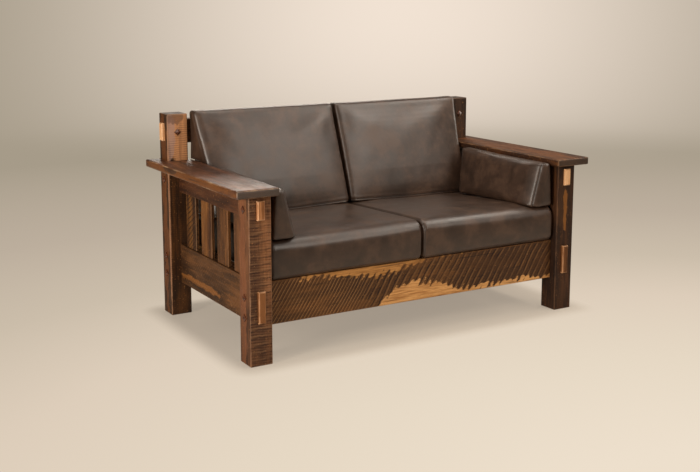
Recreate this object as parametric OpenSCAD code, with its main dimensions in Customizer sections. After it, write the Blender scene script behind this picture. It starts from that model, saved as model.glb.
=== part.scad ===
// Wooden two-seat sofa: a timber frame with slatted sides and back, a slatted
// seat deck, and six loose cushions. X runs to the sitter's left, the front
// faces -Y, Z is up, and the origin is on the floor under the middle.

/* [Frame] */
// Width over the outer faces of the legs
frame_w = 1524; // [1300:2:2000]
// Depth over the front faces of the front legs and the backs of the back posts
frame_d = 850; // [780:2:1000]
// Height of the back posts
post_h = 850; // [800:2:1000]

/* [Legs] */
// Leg and post width across the sofa
leg_w = 90; // [80:1:110]
// Leg and post depth, front to back
leg_d = 87; // [80:1:110]

/* [Arms] */
// Height of the underside of the arm boards
arm_under_z = 624; // [600:2:680]
// Arm board thickness
arm_t = 32; // [24:1:45]
// Arm board width
arm_w = 170; // [150:1:200]
// How far an arm board stands out past the outer face of the leg
arm_out = 56; // [20:1:70]
// How far an arm board runs past the legs at the front and at the back
arm_over = 25; // [20:1:60]

/* [Rails] */
// Height of the lower edge of the apron and the lower rails
low_rail_z = 138; // [100:1:160]
// Height of the apron and the lower rails, edge to edge
low_rail_h = 164; // [140:1:180]
// Apron thickness
apron_t = 28; // [22:1:32]
// How far the apron's face lies behind the front faces of the legs
apron_in = 33; // [25:1:36]
// Side rail thickness
side_rail_t = 27; // [22:1:32]
// How far a side rail's face lies behind the outer faces of the legs
side_rail_in = 46; // [36:1:48]
// Height of the upper side rails, edge to edge
up_rail_h = 98; // [80:1:120]
// Back rail thickness
back_rail_t = 35; // [28:1:40]
// How far the top back rail lies below the tops of the posts
top_rail_drop = 25; // [15:1:50]
// Height of the top back rail, edge to edge
top_rail_h = 100; // [90:1:105]

/* [Slats] */
// Side slat width
side_slat_w = 100; // [80:1:110]
// Side slat thickness
side_slat_t = 14; // [10:1:18]
// Back slat width
back_slat_w = 100; // [80:1:120]
// Back slat thickness
back_slat_t = 16; // [12:1:22]
// Number of slats in each side
side_slats = 4; // [3:1:5]
// Number of slats in the back
back_slats = 8; // [6:1:9]

/* [Seat deck] */
// Deck slat width
deck_slat_w = 90; // [60:1:110]
// Deck slat thickness
deck_slat_t = 19; // [15:1:25]
// Number of deck slats
deck_slats = 7; // [5:2:7]
// Cleat thickness
cleat_t = 25; // [20:1:35]
// Cleat height
cleat_h = 38; // [30:1:50]
// Centre stretcher width
stretcher_w = 40; // [30:1:60]
// Centre stretcher height
stretcher_h = 60; // [45:1:80]

/* [Joinery] */
// Depth of the long tenons in the legs and posts
tenon_long = 60; // [56:1:64]
// Depth of the short tenons in the legs and posts
tenon_short = 18; // [12:1:19]
// Depth of the tenons of the slats and the centre stretcher
slat_tenon = 12; // [8:1:16]
// Shoulder on each side of a tenon
shoulder = 4; // [2:1:4]
// Shoulder above and below a rail's tenon
rail_shoulder = 20; // [12:1:24]
// Clearance all round a tenon in its mortise
fit_gap = 0.2; // [0.1:0.1:0.5]
// Room left past the end of a dowel or peg
end_gap = 1; // [0.5:0.5:2]
// Rounding of the edges of legs and posts
leg_round = 5; // [2:0.5:8]
// Rounding of the edges of the arm boards
arm_round = 9; // [3:0.5:11]
// Chamfer on the edges of rails and slats
ease_small = 2; // [0.5:0.5:3]

/* [Tenon blocks] */
// Width of a tenon block
block_w = 29; // [20:1:36]
// How far the blocks on the front legs lie in from the outer face
block_in = 31; // [26:1:34]
// Height of the lower tenon block
low_block_h = 119; // [90:1:130]
// Height of the upper tenon block
up_block_h = 70; // [50:1:76]
// Height of the tenon block on a back post
post_block_h = 74; // [50:1:80]
// How far a tenon block stands out
block_out = 12; // [6:1:16]
// How deep a tenon block is let in
block_deep = 10; // [6:1:12]
// Chamfer on the end of a tenon block
block_ease = 4; // [1:0.5:5]

/* [Pegs] */
// Side of a peg's square head
peg_head = 21; // [14:1:26]
// Height of a peg's square base under its point
peg_base = 3; // [1:0.5:5]
// Height of a peg's point
peg_point = 6; // [3:0.5:8]
// Radius of a peg's round shank
peg_r = 5; // [3:0.5:6]
// Length of a peg's shank
peg_len = 60; // [56:1:64]
// Height of the two lower side pegs above the lower edge of the rail
peg_low = [39, 114]; // [30:1:130]

/* [Dowels and screws] */
// Radius of an arm dowel
dowel_r = 6; // [4:0.5:8]
// Length of an arm dowel in the leg
dowel_leg = 40; // [25:1:60]
// Length of an arm dowel in the arm
dowel_arm = 18; // [12:1:20]
// Spacing of the two dowels in each leg, front to back
dowel_pitch = 44; // [30:1:46]
// How far the dowels lie in from the outer face of the leg
dowel_in = 22; // [16:1:24]
// Screw shank radius
screw_r = 2; // [1.5:0.5:3]
// Screw head radius
screw_head_r = 4.5; // [3.5:0.5:6]
// Screw length
screw_len = 45; // [30:1:50]

/* [Seat cushions] */
// Seat cushion thickness at its front edge
seat_t_front = 152; // [120:1:180]
// Seat cushion thickness at its back edge
seat_t_back = 138; // [120:1:180]
// How far the seat cushions' faces lie behind the front faces of the legs
seat_front_in = 10; // [4:1:30]
// Crown of a seat cushion
seat_crown = 12; // [4:1:20]

/* [Back cushions] */
// Back cushion height
back_h = 412; // [340:1:450]
// Back cushion thickness at its top
back_t_top = 80; // [60:1:100]
// Lean of a back cushion's face from upright
back_lean = 18.5; // [10:0.5:20]
// Crown of a back cushion's face
back_crown = 10; // [4:1:16]
// How much wider a back cushion grows above the arm
back_flare = 14; // [0:1:18]

/* [Arm cushions] */
// Arm cushion height
arm_cushion_h = 176; // [120:1:190]
// Arm cushion thickness at its foot
arm_cushion_t_low = 108; // [90:1:120]
// Arm cushion thickness at its top
arm_cushion_t_top = 57; // [50:1:80]
// Arm cushion length along its foot
arm_cushion_l = 505; // [400:1:520]
// How far the arm cushions' ends lie behind the front faces of the legs
arm_cushion_front_in = 13; // [6:1:40]
// Lean of an arm cushion's back end from upright
arm_cushion_lean = 14; // [0:1:16]
// Crown of an arm cushion's inner face
arm_cushion_crown = 6; // [2:1:10]

/* [Cushion making] */
// Rounding of a cushion's edges
cushion_edge = 16; // [10:1:20]
// Corner radius of a cushion
cushion_corner = 26; // [20:1:40]
// How far the long sides of a seat cushion are drawn in
side_draw = 4; // [0:1:8]
// How far a cushion's sides swell past its seams
side_swell = 3; // [0:1:5]
// Gap between a cushion and what it rests on or stands beside
cushion_gap = 0.3; // [0.2:0.1:1]
// Half of the gap between the two seat cushions or the two back cushions
split_gap = 0.8; // [0.5:0.1:3]
// Gap between a seat cushion and the leg beside it
leg_gap = 3; // [1:1:6]
// Gap between a back cushion and the arm beside it
arm_gap = 2; // [1:1:6]

/* [Hidden] */
half_w = frame_w / 2;
half_d = frame_d / 2;
leg_in = half_w - leg_w;
leg_back = half_d - leg_d;
post_y = half_d - leg_d / 2;
low_rail_top = low_rail_z + low_rail_h;
arm_in = half_w + arm_out - arm_w;
side_rail_x = half_w - side_rail_in - side_rail_t;
up_rail_z = arm_under_z - up_rail_h;
top_rail_z = post_h - top_rail_drop - top_rail_h;
apron_y = -half_d + apron_in;
back_rail_y = post_y - back_rail_t / 2;
side_span = 2 * leg_back;
side_slat_gap = (side_span - side_slats * side_slat_w) / (side_slats + 1);
back_span = 2 * leg_in;
back_slat_gap = (back_span - back_slats * back_slat_w) / (back_slats + 1);
deck_z = low_rail_top - deck_slat_t;
deck_front = apron_y + apron_t;
deck_span = back_rail_y - deck_front;
deck_pitch = (back_span - deck_slat_w) / deck_slats;
cleat_screw_y = cleat_t / 2;

// Heights of the three side pegs on each leg
peg_heights = [
    low_rail_z + peg_low[0],
    low_rail_z + peg_low[1],
    arm_under_z - up_rail_h / 2
];
// Heights of the two tenon blocks on each front leg, and how tall they are
block_rows = [
    [low_rail_z + low_rail_h / 2, low_block_h],
    [arm_under_z - up_rail_h / 2, up_block_h]
];
peg_hole_r = peg_r + fit_gap;
post_peg_z = top_rail_z + top_rail_h / 2;
post_peg_x = half_w - leg_w / 2;

// Steps in the rounding of an edge, where one step is a chamfer
round_steps = 3;

// Steps round each corner, and along each side, of a cushion's outline
arc_steps = 4;
side_steps = 6;
// Share of the outline at each ring across a cushion's face
face_steps = [0.22, 0.45, 0.66, 0.84, 1];
// Share of the edge rounding that the middle of a quarter round keeps
round_mid = 1 - sin(45);
// Power with which a crown falls towards a cushion's edge
crown_power = 3;
// Power that squares up the rings of equal height round a crown
square_power = 6;
// Width of the rounded rim round a cushion's face
cushion_rim = cushion_edge + side_swell;
round_fn = 48;

wood_dark = "#5A3A24";
wood_mid = "#7A5233";
wood_red = "#4E2C1C";
wood_light = "#C48A54";
wood_plain = "#C9A877";
leather = "#6A5C50";
bronze = "#3B2C22";
steel = "#B8BABD";

// Names of a row of numbered pieces
function row(name, count) = [for (i = [1:count]) str(name, "_", i)];

// The children as they are on the +X side, or mirrored for the -X side
module on_side(side) {
    if (side > 0) children();
    else mirror([1, 0, 0]) children();
}

// A rectangle whose four corners are rounded by ease, in a number of steps
module eased_outline(w, h, ease, steps) {
    middles = [[w - ease, h - ease], [ease, h - ease], [ease, ease], [w - ease, ease]];
    polygon([
        for (q = [0:3])
            for (i = [0:steps])
                let(turn = 90 * (q + i / steps))
                middles[q] + ease * [cos(turn), sin(turn)]
    ]);
}

// A board with all its edges eased, its lowest corner at the origin
module board(size, ease, steps = 1) {
    intersection() {
        linear_extrude(size.z) eased_outline(size.x, size.y, ease, steps);
        translate([0, size.y, 0]) rotate([90, 0, 0])
            linear_extrude(size.y) eased_outline(size.x, size.z, ease, steps);
        rotate([90, 0, 90])
            linear_extrude(size.x) eased_outline(size.y, size.z, ease, steps);
    }
}

// A plain box from one corner to the other, grown by gap on every side
module span_box(low, high, gap = 0) {
    grow = [gap, gap, gap];
    translate(low - grow) cube(high - low + 2 * grow);
}

// Long tenon of a side rail, in the leg or post at the end given by end (-1 front, 1 back)
module side_tenon(z, h, end, gap = 0) {
    reach = leg_back + tenon_long;
    low_y = end > 0 ? leg_back - shoulder : -reach;
    high_y = end > 0 ? reach : -leg_back + shoulder;
    span_box(
        [side_rail_x + shoulder, low_y, z + rail_shoulder],
        [side_rail_x + side_rail_t - shoulder, high_y, z + h - rail_shoulder],
        gap
    );
}

// Mortises for both side rails in the leg or post at one end
module side_mortises(end) {
    side_tenon(low_rail_z, low_rail_h, end, fit_gap);
    side_tenon(up_rail_z, up_rail_h, end, fit_gap);
}

// Tenon of a cross rail on the +X side
module cross_tenon(y, t, z, h, reach, gap = 0) {
    span_box(
        [leg_in - shoulder, y + shoulder, z + rail_shoulder],
        [leg_in + reach, y + t - shoulder, z + h - rail_shoulder],
        gap
    );
}

// A round hole or shank along X, inward from the outer face of a leg
module side_peg_shank(y, z, r, len) {
    translate([half_w - len, y, z]) rotate([0, 90, 0])
        cylinder(h = len, r = r, $fn = round_fn);
}

// The three side peg shanks or holes of the leg centred on y
module side_peg_shanks(y, r, len) {
    for (z = peg_heights) side_peg_shank(y, z, r, len);
}

// The shank or hole of the peg in the front face of a back post
module post_peg_shank(r, len) {
    translate([post_peg_x, leg_back, post_peg_z]) rotate([-90, 0, 0])
        cylinder(h = len, r = r, $fn = round_fn);
}

// A peg's head: a square base, set on its corner, with a low pyramid on it,
// pointing along Z
module peg_head_shape() {
    rotate([0, 0, 45]) translate([-peg_head / 2, -peg_head / 2, 0])
        cube([peg_head, peg_head, peg_base]);
    translate([0, 0, peg_base])
        cylinder(h = peg_point, r1 = peg_head / sqrt(2), r2 = 0, $fn = 4);
}

// The side pegs of the leg centred on y
module side_pegs(y) {
    side_peg_shanks(y, peg_r, peg_len);
    for (z = peg_heights)
        translate([half_w, y, z]) rotate([0, 90, 0]) peg_head_shape();
}

// The tenon block's box on the front of a leg, let in by block_deep
module front_block_box(row, deep, out, gap = 0) {
    high_x = half_w - block_in;
    span_box(
        [high_x - block_w, -half_d - out, row[0] - row[1] / 2],
        [high_x, -half_d + deep, row[0] + row[1] / 2],
        gap
    );
}

// A block with a chamfered outer end, standing along +Z from z = 0
module block_shape(w, h, len) {
    hull() {
        translate([-w / 2, -h / 2, 0]) cube([w, h, len - block_ease]);
        translate([-w / 2 + block_ease, -h / 2 + block_ease, 0])
            cube([w - 2 * block_ease, h - 2 * block_ease, len]);
    }
}

module front_block(row) {
    translate([half_w - block_in - block_w / 2, -half_d + block_deep, row[0]])
        rotate([90, 0, 0]) block_shape(block_w, row[1], block_deep + block_out);
}

module post_block() {
    translate([half_w - block_deep, post_y, post_peg_z]) rotate([90, 0, 90])
        block_shape(block_w, post_block_h, block_deep + block_out);
}

// The recess for the tenon block in the side of a back post
module post_block_recess() {
    span_box(
        [half_w - block_deep, post_y - block_w / 2, post_peg_z - post_block_h / 2],
        [half_w + block_out, post_y + block_w / 2, post_peg_z + post_block_h / 2],
        fit_gap
    );
}

// The two dowels, or their holes, between a front leg and its arm
module dowels(r, down, up) {
    for (step = [-1, 1])
        translate([half_w - dowel_in, step * dowel_pitch / 2 - post_y, arm_under_z - down])
            cylinder(h = down + up, r = r, $fn = round_fn);
}

module leg_front(side) {
    color(wood_dark) on_side(side) difference() {
        translate([leg_in, -half_d, 0]) board([leg_w, leg_d, arm_under_z], leg_round, round_steps);
        side_mortises(-1);
        cross_tenon(apron_y, apron_t, low_rail_z, low_rail_h, tenon_short, fit_gap);
        side_peg_shanks(-post_y, peg_hole_r, peg_len + end_gap);
        for (row = block_rows) front_block_box(row, block_deep, block_out, fit_gap);
        dowels(dowel_r + fit_gap, dowel_leg + end_gap, end_gap);
    }
}

module post_back(side) {
    color(wood_dark) on_side(side) difference() {
        translate([leg_in, leg_back, 0]) board([leg_w, leg_d, post_h], leg_round, round_steps);
        side_mortises(1);
        cross_tenon(back_rail_y, back_rail_t, low_rail_z, low_rail_h, tenon_short, fit_gap);
        cross_tenon(back_rail_y, back_rail_t, top_rail_z, top_rail_h, tenon_long, fit_gap);
        side_peg_shanks(post_y, peg_hole_r, peg_len + end_gap);
        post_peg_shank(peg_hole_r, peg_len + end_gap);
        post_block_recess();
    }
}

module arm(side) {
    color(wood_red) on_side(side) difference() {
        translate([arm_in, -half_d - arm_over, arm_under_z])
            board([arm_w, frame_d + 2 * arm_over, arm_t], arm_round, round_steps);
        span_box([leg_in, leg_back, arm_under_z - arm_t],
            [half_w, half_d, arm_under_z + 2 * arm_t], fit_gap);
        dowels(dowel_r + fit_gap, dowel_leg, dowel_arm + end_gap);
    }
}

// A rail across the sofa with a tenon at each end
module cross_rail(y, t, z, h, reach) {
    translate([-leg_in, y, z]) board([back_span, t, h], ease_small);
    for (side = [-1, 1]) on_side(side) cross_tenon(y, t, z, h, reach);
}

module apron_front() {
    color(wood_mid) difference() {
        cross_rail(apron_y, apron_t, low_rail_z, low_rail_h, tenon_short);
        stretcher_tenons(fit_gap);
    }
}

// One slat tenon, or its mortise, centred on x in a rail of the back
module back_slat_tenon(x, z, gap = 0) {
    span_box(
        [x - back_slat_w / 2 + shoulder, post_y - back_slat_t / 2 + shoulder, z],
        [x + back_slat_w / 2 - shoulder, post_y + back_slat_t / 2 - shoulder, z + slat_tenon],
        gap
    );
}

// Middle of the back slat numbered i from the left
function back_slat_x(i) = -leg_in + back_slat_gap * i + back_slat_w * (i - 0.5);

module back_slat_mortises(z) {
    for (i = [1:back_slats]) back_slat_tenon(back_slat_x(i), z, fit_gap);
}

module back_rail_lower() {
    color(wood_mid) difference() {
        cross_rail(back_rail_y, back_rail_t, low_rail_z, low_rail_h, tenon_short);
        back_slat_mortises(low_rail_top - slat_tenon);
        stretcher_tenons(fit_gap);
    }
}

module back_rail_upper() {
    color(wood_mid) difference() {
        cross_rail(back_rail_y, back_rail_t, top_rail_z, top_rail_h, tenon_long);
        back_slat_mortises(top_rail_z);
        for (side = [-1, 1]) on_side(side) post_peg_shank(peg_hole_r, peg_len + end_gap);
    }
}

module back_slat(i) {
    x = back_slat_x(i);
    color(wood_mid) {
        translate([x - back_slat_w / 2, post_y - back_slat_t / 2, low_rail_top])
            board([back_slat_w, back_slat_t, top_rail_z - low_rail_top], ease_small);
        back_slat_tenon(x, low_rail_top - slat_tenon + fit_gap);
        back_slat_tenon(x, top_rail_z - fit_gap);
    }
}

// One slat tenon, or its mortise, centred on y in a rail of the side
module side_slat_tenon(y, z, gap = 0) {
    mid_x = side_rail_x + side_rail_t / 2;
    half_t = side_slat_t / 2 - shoulder / 2;
    span_box(
        [mid_x - half_t, y - side_slat_w / 2 + shoulder, z],
        [mid_x + half_t, y + side_slat_w / 2 - shoulder, z + slat_tenon],
        gap
    );
}

// Middle of the side slat numbered i from the front
function side_slat_y(i) = -leg_back + side_slat_gap * i + side_slat_w * (i - 0.5);

module side_rail(z, h, mortise_z) {
    difference() {
        union() {
            translate([side_rail_x, -leg_back, z])
                board([side_rail_t, side_span, h], ease_small);
            for (end = [-1, 1]) side_tenon(z, h, end);
        }
        for (i = [1:side_slats]) side_slat_tenon(side_slat_y(i), mortise_z, fit_gap);
        for (y = [-post_y, post_y]) side_peg_shanks(y, peg_hole_r, peg_len + end_gap);
    }
}

module side_rail_lower(side) {
    color(wood_mid) on_side(side)
        side_rail(low_rail_z, low_rail_h, low_rail_top - slat_tenon);
}

module side_rail_upper(side) {
    color(wood_mid) on_side(side) side_rail(up_rail_z, up_rail_h, up_rail_z);
}

module side_slat(side, i) {
    y = side_slat_y(i);
    mid_x = side_rail_x + side_rail_t / 2;
    color(wood_mid) on_side(side) {
        translate([mid_x - side_slat_t / 2, y - side_slat_w / 2, low_rail_top])
            board([side_slat_t, side_slat_w, up_rail_z - low_rail_top], ease_small);
        side_slat_tenon(y, low_rail_top - slat_tenon + fit_gap);
        side_slat_tenon(y, up_rail_z - fit_gap);
    }
}

module tenon_block_front(side, row) {
    color(wood_light) on_side(side) front_block(row);
}

module tenon_block_post(side) {
    color(wood_light) on_side(side) post_block();
}

module pegs_front(side) {
    color(bronze) on_side(side) side_pegs(-post_y);
}

module pegs_back(side) {
    color(bronze) on_side(side) {
        side_pegs(post_y);
        post_peg_shank(peg_r, peg_len);
        translate([post_peg_x, leg_back, post_peg_z]) rotate([90, 0, 0]) peg_head_shape();
    }
}

// Middle of the deck slat numbered i from the left
function deck_slat_x(i) = deck_pitch * (i - (deck_slats + 1) / 2);

// Both ends' screw places of every deck slat
function screw_places() = [
    for (i = [1:deck_slats])
        for (y = [deck_front + cleat_screw_y, back_rail_y - cleat_screw_y])
            [deck_slat_x(i), y]
];

// A countersunk screw, or its hole when grown by gap, hanging down from z = 0
module screw_shape(gap = 0) {
    rotate_extrude($fn = round_fn) polygon([
        [0, gap], [screw_head_r + gap, gap], [screw_r + gap, screw_r - screw_head_r],
        [screw_r + gap, -screw_len - gap], [0, -screw_len - gap]
    ]);
}

module screw_holes() {
    for (place = screw_places())
        translate([place.x, place.y, low_rail_top]) screw_shape(fit_gap);
}

module deck_slat(i) {
    color(wood_plain) difference() {
        translate([deck_slat_x(i) - deck_slat_w / 2, deck_front + end_gap / 2, deck_z])
            board([deck_slat_w, deck_span - end_gap, deck_slat_t], ease_small);
        screw_holes();
    }
}

// A cleat whose back lies against the rail at y = from
module cleat(from) {
    color(wood_plain) difference() {
        translate([-leg_in + end_gap, from, deck_z - cleat_h])
            board([back_span - 2 * end_gap, cleat_t, cleat_h], ease_small);
        screw_holes();
        span_box(
            [-stretcher_w / 2, deck_front, deck_z - stretcher_h],
            [stretcher_w / 2, back_rail_y, deck_z],
            fit_gap
        );
    }
}

// The centre stretcher's tenons in the apron and the lower back rail
module stretcher_tenons(gap = 0) {
    span_box(
        [-stretcher_w / 2 + shoulder, deck_front - slat_tenon, deck_z - stretcher_h + shoulder],
        [stretcher_w / 2 - shoulder, back_rail_y + slat_tenon, deck_z - shoulder],
        gap
    );
}

module centre_stretcher() {
    color(wood_plain) difference() {
        union() {
            translate([-stretcher_w / 2, deck_front, deck_z - stretcher_h])
                board([stretcher_w, deck_span, stretcher_h], ease_small);
            stretcher_tenons();
        }
        screw_holes();
    }
}

module deck_screws() {
    color(steel) for (place = screw_places())
        translate([place.x, place.y, low_rail_top]) screw_shape();
}

module arm_dowels(side) {
    color(wood_plain) on_side(side) dowels(dowel_r, dowel_leg, dowel_arm);
}

// Outline of a cushion as points round a rectangle with round corners
function outline(half, r) = [
    for (q = [0:3])
        let(
            signs = [[1, 1], [-1, 1], [-1, -1], [1, -1]],
            here = [signs[q].x * (half.x - r), signs[q].y * (half.y - r)],
            next_signs = signs[(q + 1) % 4],
            there = [next_signs.x * (half.x - r), next_signs.y * (half.y - r)],
            out = r * [cos(90 * (q + 1)), sin(90 * (q + 1))]
        )
        each concat(
            [for (i = [0:arc_steps])
                let(turn = 90 * (q + i / arc_steps)) here + r * [cos(turn), sin(turn)]],
            [for (i = [1:side_steps - 1])
                here + out + (there - here) * i / side_steps]
        )
];

// A point of an outline with the middles of the four sides drawn in
function drawn_in(p, half, draw) = [
    p.x - sign(p.x) * draw.x * (1 - pow(p.y / half.y, 2)) * pow(abs(p.x) / half.x, 4),
    p.y - sign(p.y) * draw.y * (1 - pow(p.x / half.x, 2)) * pow(abs(p.y) / half.y, 4)
];

// One ring of a cushion. inset shrinks the outline by a length, share by a factor.
// depth_of turns a point of the outline into its distance through the cushion.
function ring(half, draw, inset, share, depth_of) =
    let(edge = [half.x - inset, half.y - inset])
    [for (p = outline(edge, max(cushion_corner - inset, 1)))
        let(q = drawn_in(p, half, draw) * share)
        [q.x, q.y, depth_of(q)]];

// How far out a point of a face lies, from 0 in the middle to 1 at the rim
function reach_of(u, v) =
    pow(pow(abs(u), square_power) + pow(abs(v), square_power), 1 / square_power);

// Height of a crown over a point of a cushion's face. It falls all the way out,
// and a little lower at the corners than at the middles of the sides.
function crown_at(p, half, crown) =
    let(out = reach_of(p.x / (half.x - cushion_rim), p.y / (half.y - cushion_rim)))
    crown * (1 - pow(out, crown_power));

// The rings of a cushion from the middle of its face to the middle of its back.
// thick(p) is its thickness at a point of the outline, measured from its back.
function cushion_rings(half, draw, crown, thick) =
    let(
        mid = side_swell + round_mid * cushion_edge,
        low = round_mid * cushion_edge
    )
    concat(
        [for (share = face_steps)
            ring(half, draw, cushion_rim, share,
                function (p) thick(p) + crown_at(p, half, crown))],
        [
            ring(half, draw, mid, 1, function (p) thick(p) - low),
            ring(half, draw, side_swell, 1, function (p) thick(p) - cushion_edge),
            ring(half, draw, 0, 1, function (p) thick(p) / 2),
            ring(half, draw, side_swell, 1, function (p) cushion_edge),
            ring(half, draw, mid, 1, function (p) low)
        ],
        [for (i = [len(face_steps) - 1:-1:0])
            ring(half, draw, cushion_rim, face_steps[i], function (p) 0)]
    );

// A closed cushion. place(p) turns a point across, along and through it into its place.
module cushion(half, draw, crown, thick, place) {
    rings = cushion_rings(half, draw, crown, thick);
    count = len(rings[0]);
    last = len(rings) - 1;
    points = [
        for (loop = rings)
            for (p = loop) place(p),
        place([0, 0, thick([0, 0]) + crown]),
        place([0, 0, 0])
    ];
    top = len(points) - 2;
    bottom = len(points) - 1;
    bands = [
        for (k = [0:last - 1])
            for (i = [0:count - 1])
                let(
                    upper = k * count,
                    lower = (k + 1) * count,
                    next = (i + 1) % count
                )
                each [
                    [upper + next, lower + next, lower + i],
                    [upper + i, upper + next, lower + i]
                ]
    ];
    caps = [
        for (i = [0:count - 1])
            let(next = (i + 1) % count)
            each [
                [top, next, i],
                [bottom, last * count + i, last * count + next]
            ]
    ];
    polyhedron(points = points, faces = concat(bands, caps), convexity = 4);
}

// Seat cushion on the +X side
seat_z = low_rail_top + cushion_gap;
seat_low_x = split_gap;
seat_high_x = leg_in - leg_gap;
seat_low_y = -half_d + seat_front_in;
seat_high_y = back_rail_y - cushion_gap;
seat_half = [(seat_high_x - seat_low_x) / 2, (seat_high_y - seat_low_y) / 2];
seat_mid = [(seat_high_x + seat_low_x) / 2, (seat_high_y + seat_low_y) / 2];

function seat_thick(p) =
    seat_t_front + (seat_t_back - seat_t_front) * (p.y + seat_half.y) / (2 * seat_half.y);

// Height of the seat cushion's face at a place on it
function seat_top(x, y) =
    let(p = [x - seat_mid.x, y - seat_mid.y])
    seat_z + seat_thick(p) + crown_at(p, seat_half, seat_crown);

module seat_cushion(side) {
    color(leather) on_side(side) cushion(
        seat_half, [side_draw, side_draw], seat_crown,
        function (p) seat_thick(p),
        function (p) [seat_mid.x + p.x, seat_mid.y + p.y, seat_z + p.z]
    );
}

// Back cushion on the +X side: its back is upright and its face leans
back_y = back_rail_y - cushion_gap;
back_t_low = back_t_top + back_h * tan(back_lean);
back_foot_y = back_y - back_t_low / 2;
back_seam_y = back_y - back_t_low + cushion_edge;
// The foot is lowest along its middle, and its front seam is side_swell higher
back_z = cushion_gap + max(
    seat_top(seat_mid.x, back_foot_y),
    seat_top(seat_mid.x, back_seam_y) - side_swell
);
back_low_x = split_gap;
back_high_x = arm_in - arm_gap;
back_half = [(back_high_x - back_low_x) / 2, back_h / 2];
// Heights over which a back cushion widens above the arm
flare_from = arm_under_z + arm_t;
flare_rise = 100;

// Smooth step from 0 to 1
function smooth(v) = let(c = min(1, max(0, v))) c * c * (3 - 2 * c);

function back_thick(p) = back_t_low - (p.y + back_half.y) * tan(back_lean);

function back_place(p) =
    let(
        z = back_z + back_half.y + p.y,
        wide = back_flare * smooth((z - flare_from) / flare_rise),
        across = (p.x + back_half.x) / (2 * back_half.x)
    )
    [back_low_x + across * (2 * back_half.x + wide), back_y - p.z, z];

module back_cushion(side) {
    color(leather) on_side(side) cushion(
        back_half, [side_draw / 2, 0], back_crown,
        function (p) back_thick(p),
        function (p) back_place(p)
    );
}

// Arm cushion on the +X side: it leans on the arm board's inner edge
arm_cushion_top_x = arm_in - cushion_gap;
arm_cushion_slope = 13;
arm_cushion_low_x = arm_cushion_top_x + arm_cushion_slope;
arm_cushion_y = -half_d + arm_cushion_front_in;
arm_cushion_foot_x = arm_cushion_low_x - arm_cushion_t_low / 2;
arm_cushion_seam_x = arm_cushion_low_x - arm_cushion_t_low + cushion_edge;
arm_cushion_half = [arm_cushion_l / 2, arm_cushion_h / 2];
// Places along the arm cushion's foot at which its height is measured
arm_cushion_ys = [for (i = [0:20]) arm_cushion_y + arm_cushion_l * i / 20];
// The foot clears the seat cushion along its middle and along its inner seam
arm_cushion_z = cushion_gap + max([
    for (y = arm_cushion_ys)
        max(seat_top(arm_cushion_foot_x, y), seat_top(arm_cushion_seam_x, y) - side_swell)
]);

function arm_cushion_up(p) = (p.y + arm_cushion_half.y) / (2 * arm_cushion_half.y);

function arm_cushion_thick(p) =
    arm_cushion_t_low + (arm_cushion_t_top - arm_cushion_t_low) * arm_cushion_up(p);

function arm_cushion_place(p) =
    let(
        up = arm_cushion_up(p),
        back = arm_cushion_h * up * tan(arm_cushion_lean),
        along = (arm_cushion_half.x - p.x) / (2 * arm_cushion_half.x)
    )
    [
        arm_cushion_low_x - arm_cushion_slope * up - p.z,
        arm_cushion_y + along * (arm_cushion_l + back),
        arm_cushion_z + arm_cushion_half.y + p.y
    ];

module arm_cushion(side) {
    color(leather) on_side(side) cushion(
        arm_cushion_half, [0, 0], arm_cushion_crown,
        function (p) arm_cushion_thick(p),
        function (p) arm_cushion_place(p)
    );
}

leg_front(-1);  // leg_front_left
leg_front(1);  // leg_front_right
post_back(-1);  // post_back_left
post_back(1);  // post_back_right
arm(-1);  // arm_left
arm(1);  // arm_right
apron_front();
back_rail_lower();
back_rail_upper();
side_rail_lower(-1);  // side_rail_lower_left
side_rail_lower(1);  // side_rail_lower_right
side_rail_upper(-1);  // side_rail_upper_left
side_rail_upper(1);  // side_rail_upper_right
for (i = [1:side_slats]) {
    side_slat(-1, i);
    side_slat(1, i);
}
for (i = [1:back_slats])
    back_slat(i);
tenon_block_front(-1, block_rows[0]);  // tenon_block_lower_left
tenon_block_front(1, block_rows[0]);  // tenon_block_lower_right
tenon_block_front(-1, block_rows[1]);  // tenon_block_upper_left
tenon_block_front(1, block_rows[1]);  // tenon_block_upper_right
tenon_block_post(-1);  // tenon_block_post_left
tenon_block_post(1);  // tenon_block_post_right
pegs_front(-1);  // pegs_front_left
pegs_front(1);  // pegs_front_right
pegs_back(-1);  // pegs_back_left
pegs_back(1);  // pegs_back_right
cleat(deck_front);  // cleat_front
cleat(back_rail_y - cleat_t);  // cleat_back
centre_stretcher();
for (i = [1:deck_slats])
    deck_slat(i);
deck_screws();
arm_dowels(-1);  // arm_dowels_left
arm_dowels(1);  // arm_dowels_right
seat_cushion(-1);  // seat_cushion_left
seat_cushion(1);  // seat_cushion_right
back_cushion(-1);  // back_cushion_left
back_cushion(1);  // back_cushion_right
arm_cushion(-1);  // arm_cushion_left
arm_cushion(1);  // arm_cushion_right
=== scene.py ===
"""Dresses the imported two-seat sofa: rough-sawn timber frame and six loose leather cushions."""

import logging
import math
from dataclasses import dataclass
from enum import Enum
from typing import ClassVar

import bmesh
import bpy
import numpy as np
from mathutils import Euler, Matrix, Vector, noise


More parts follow.
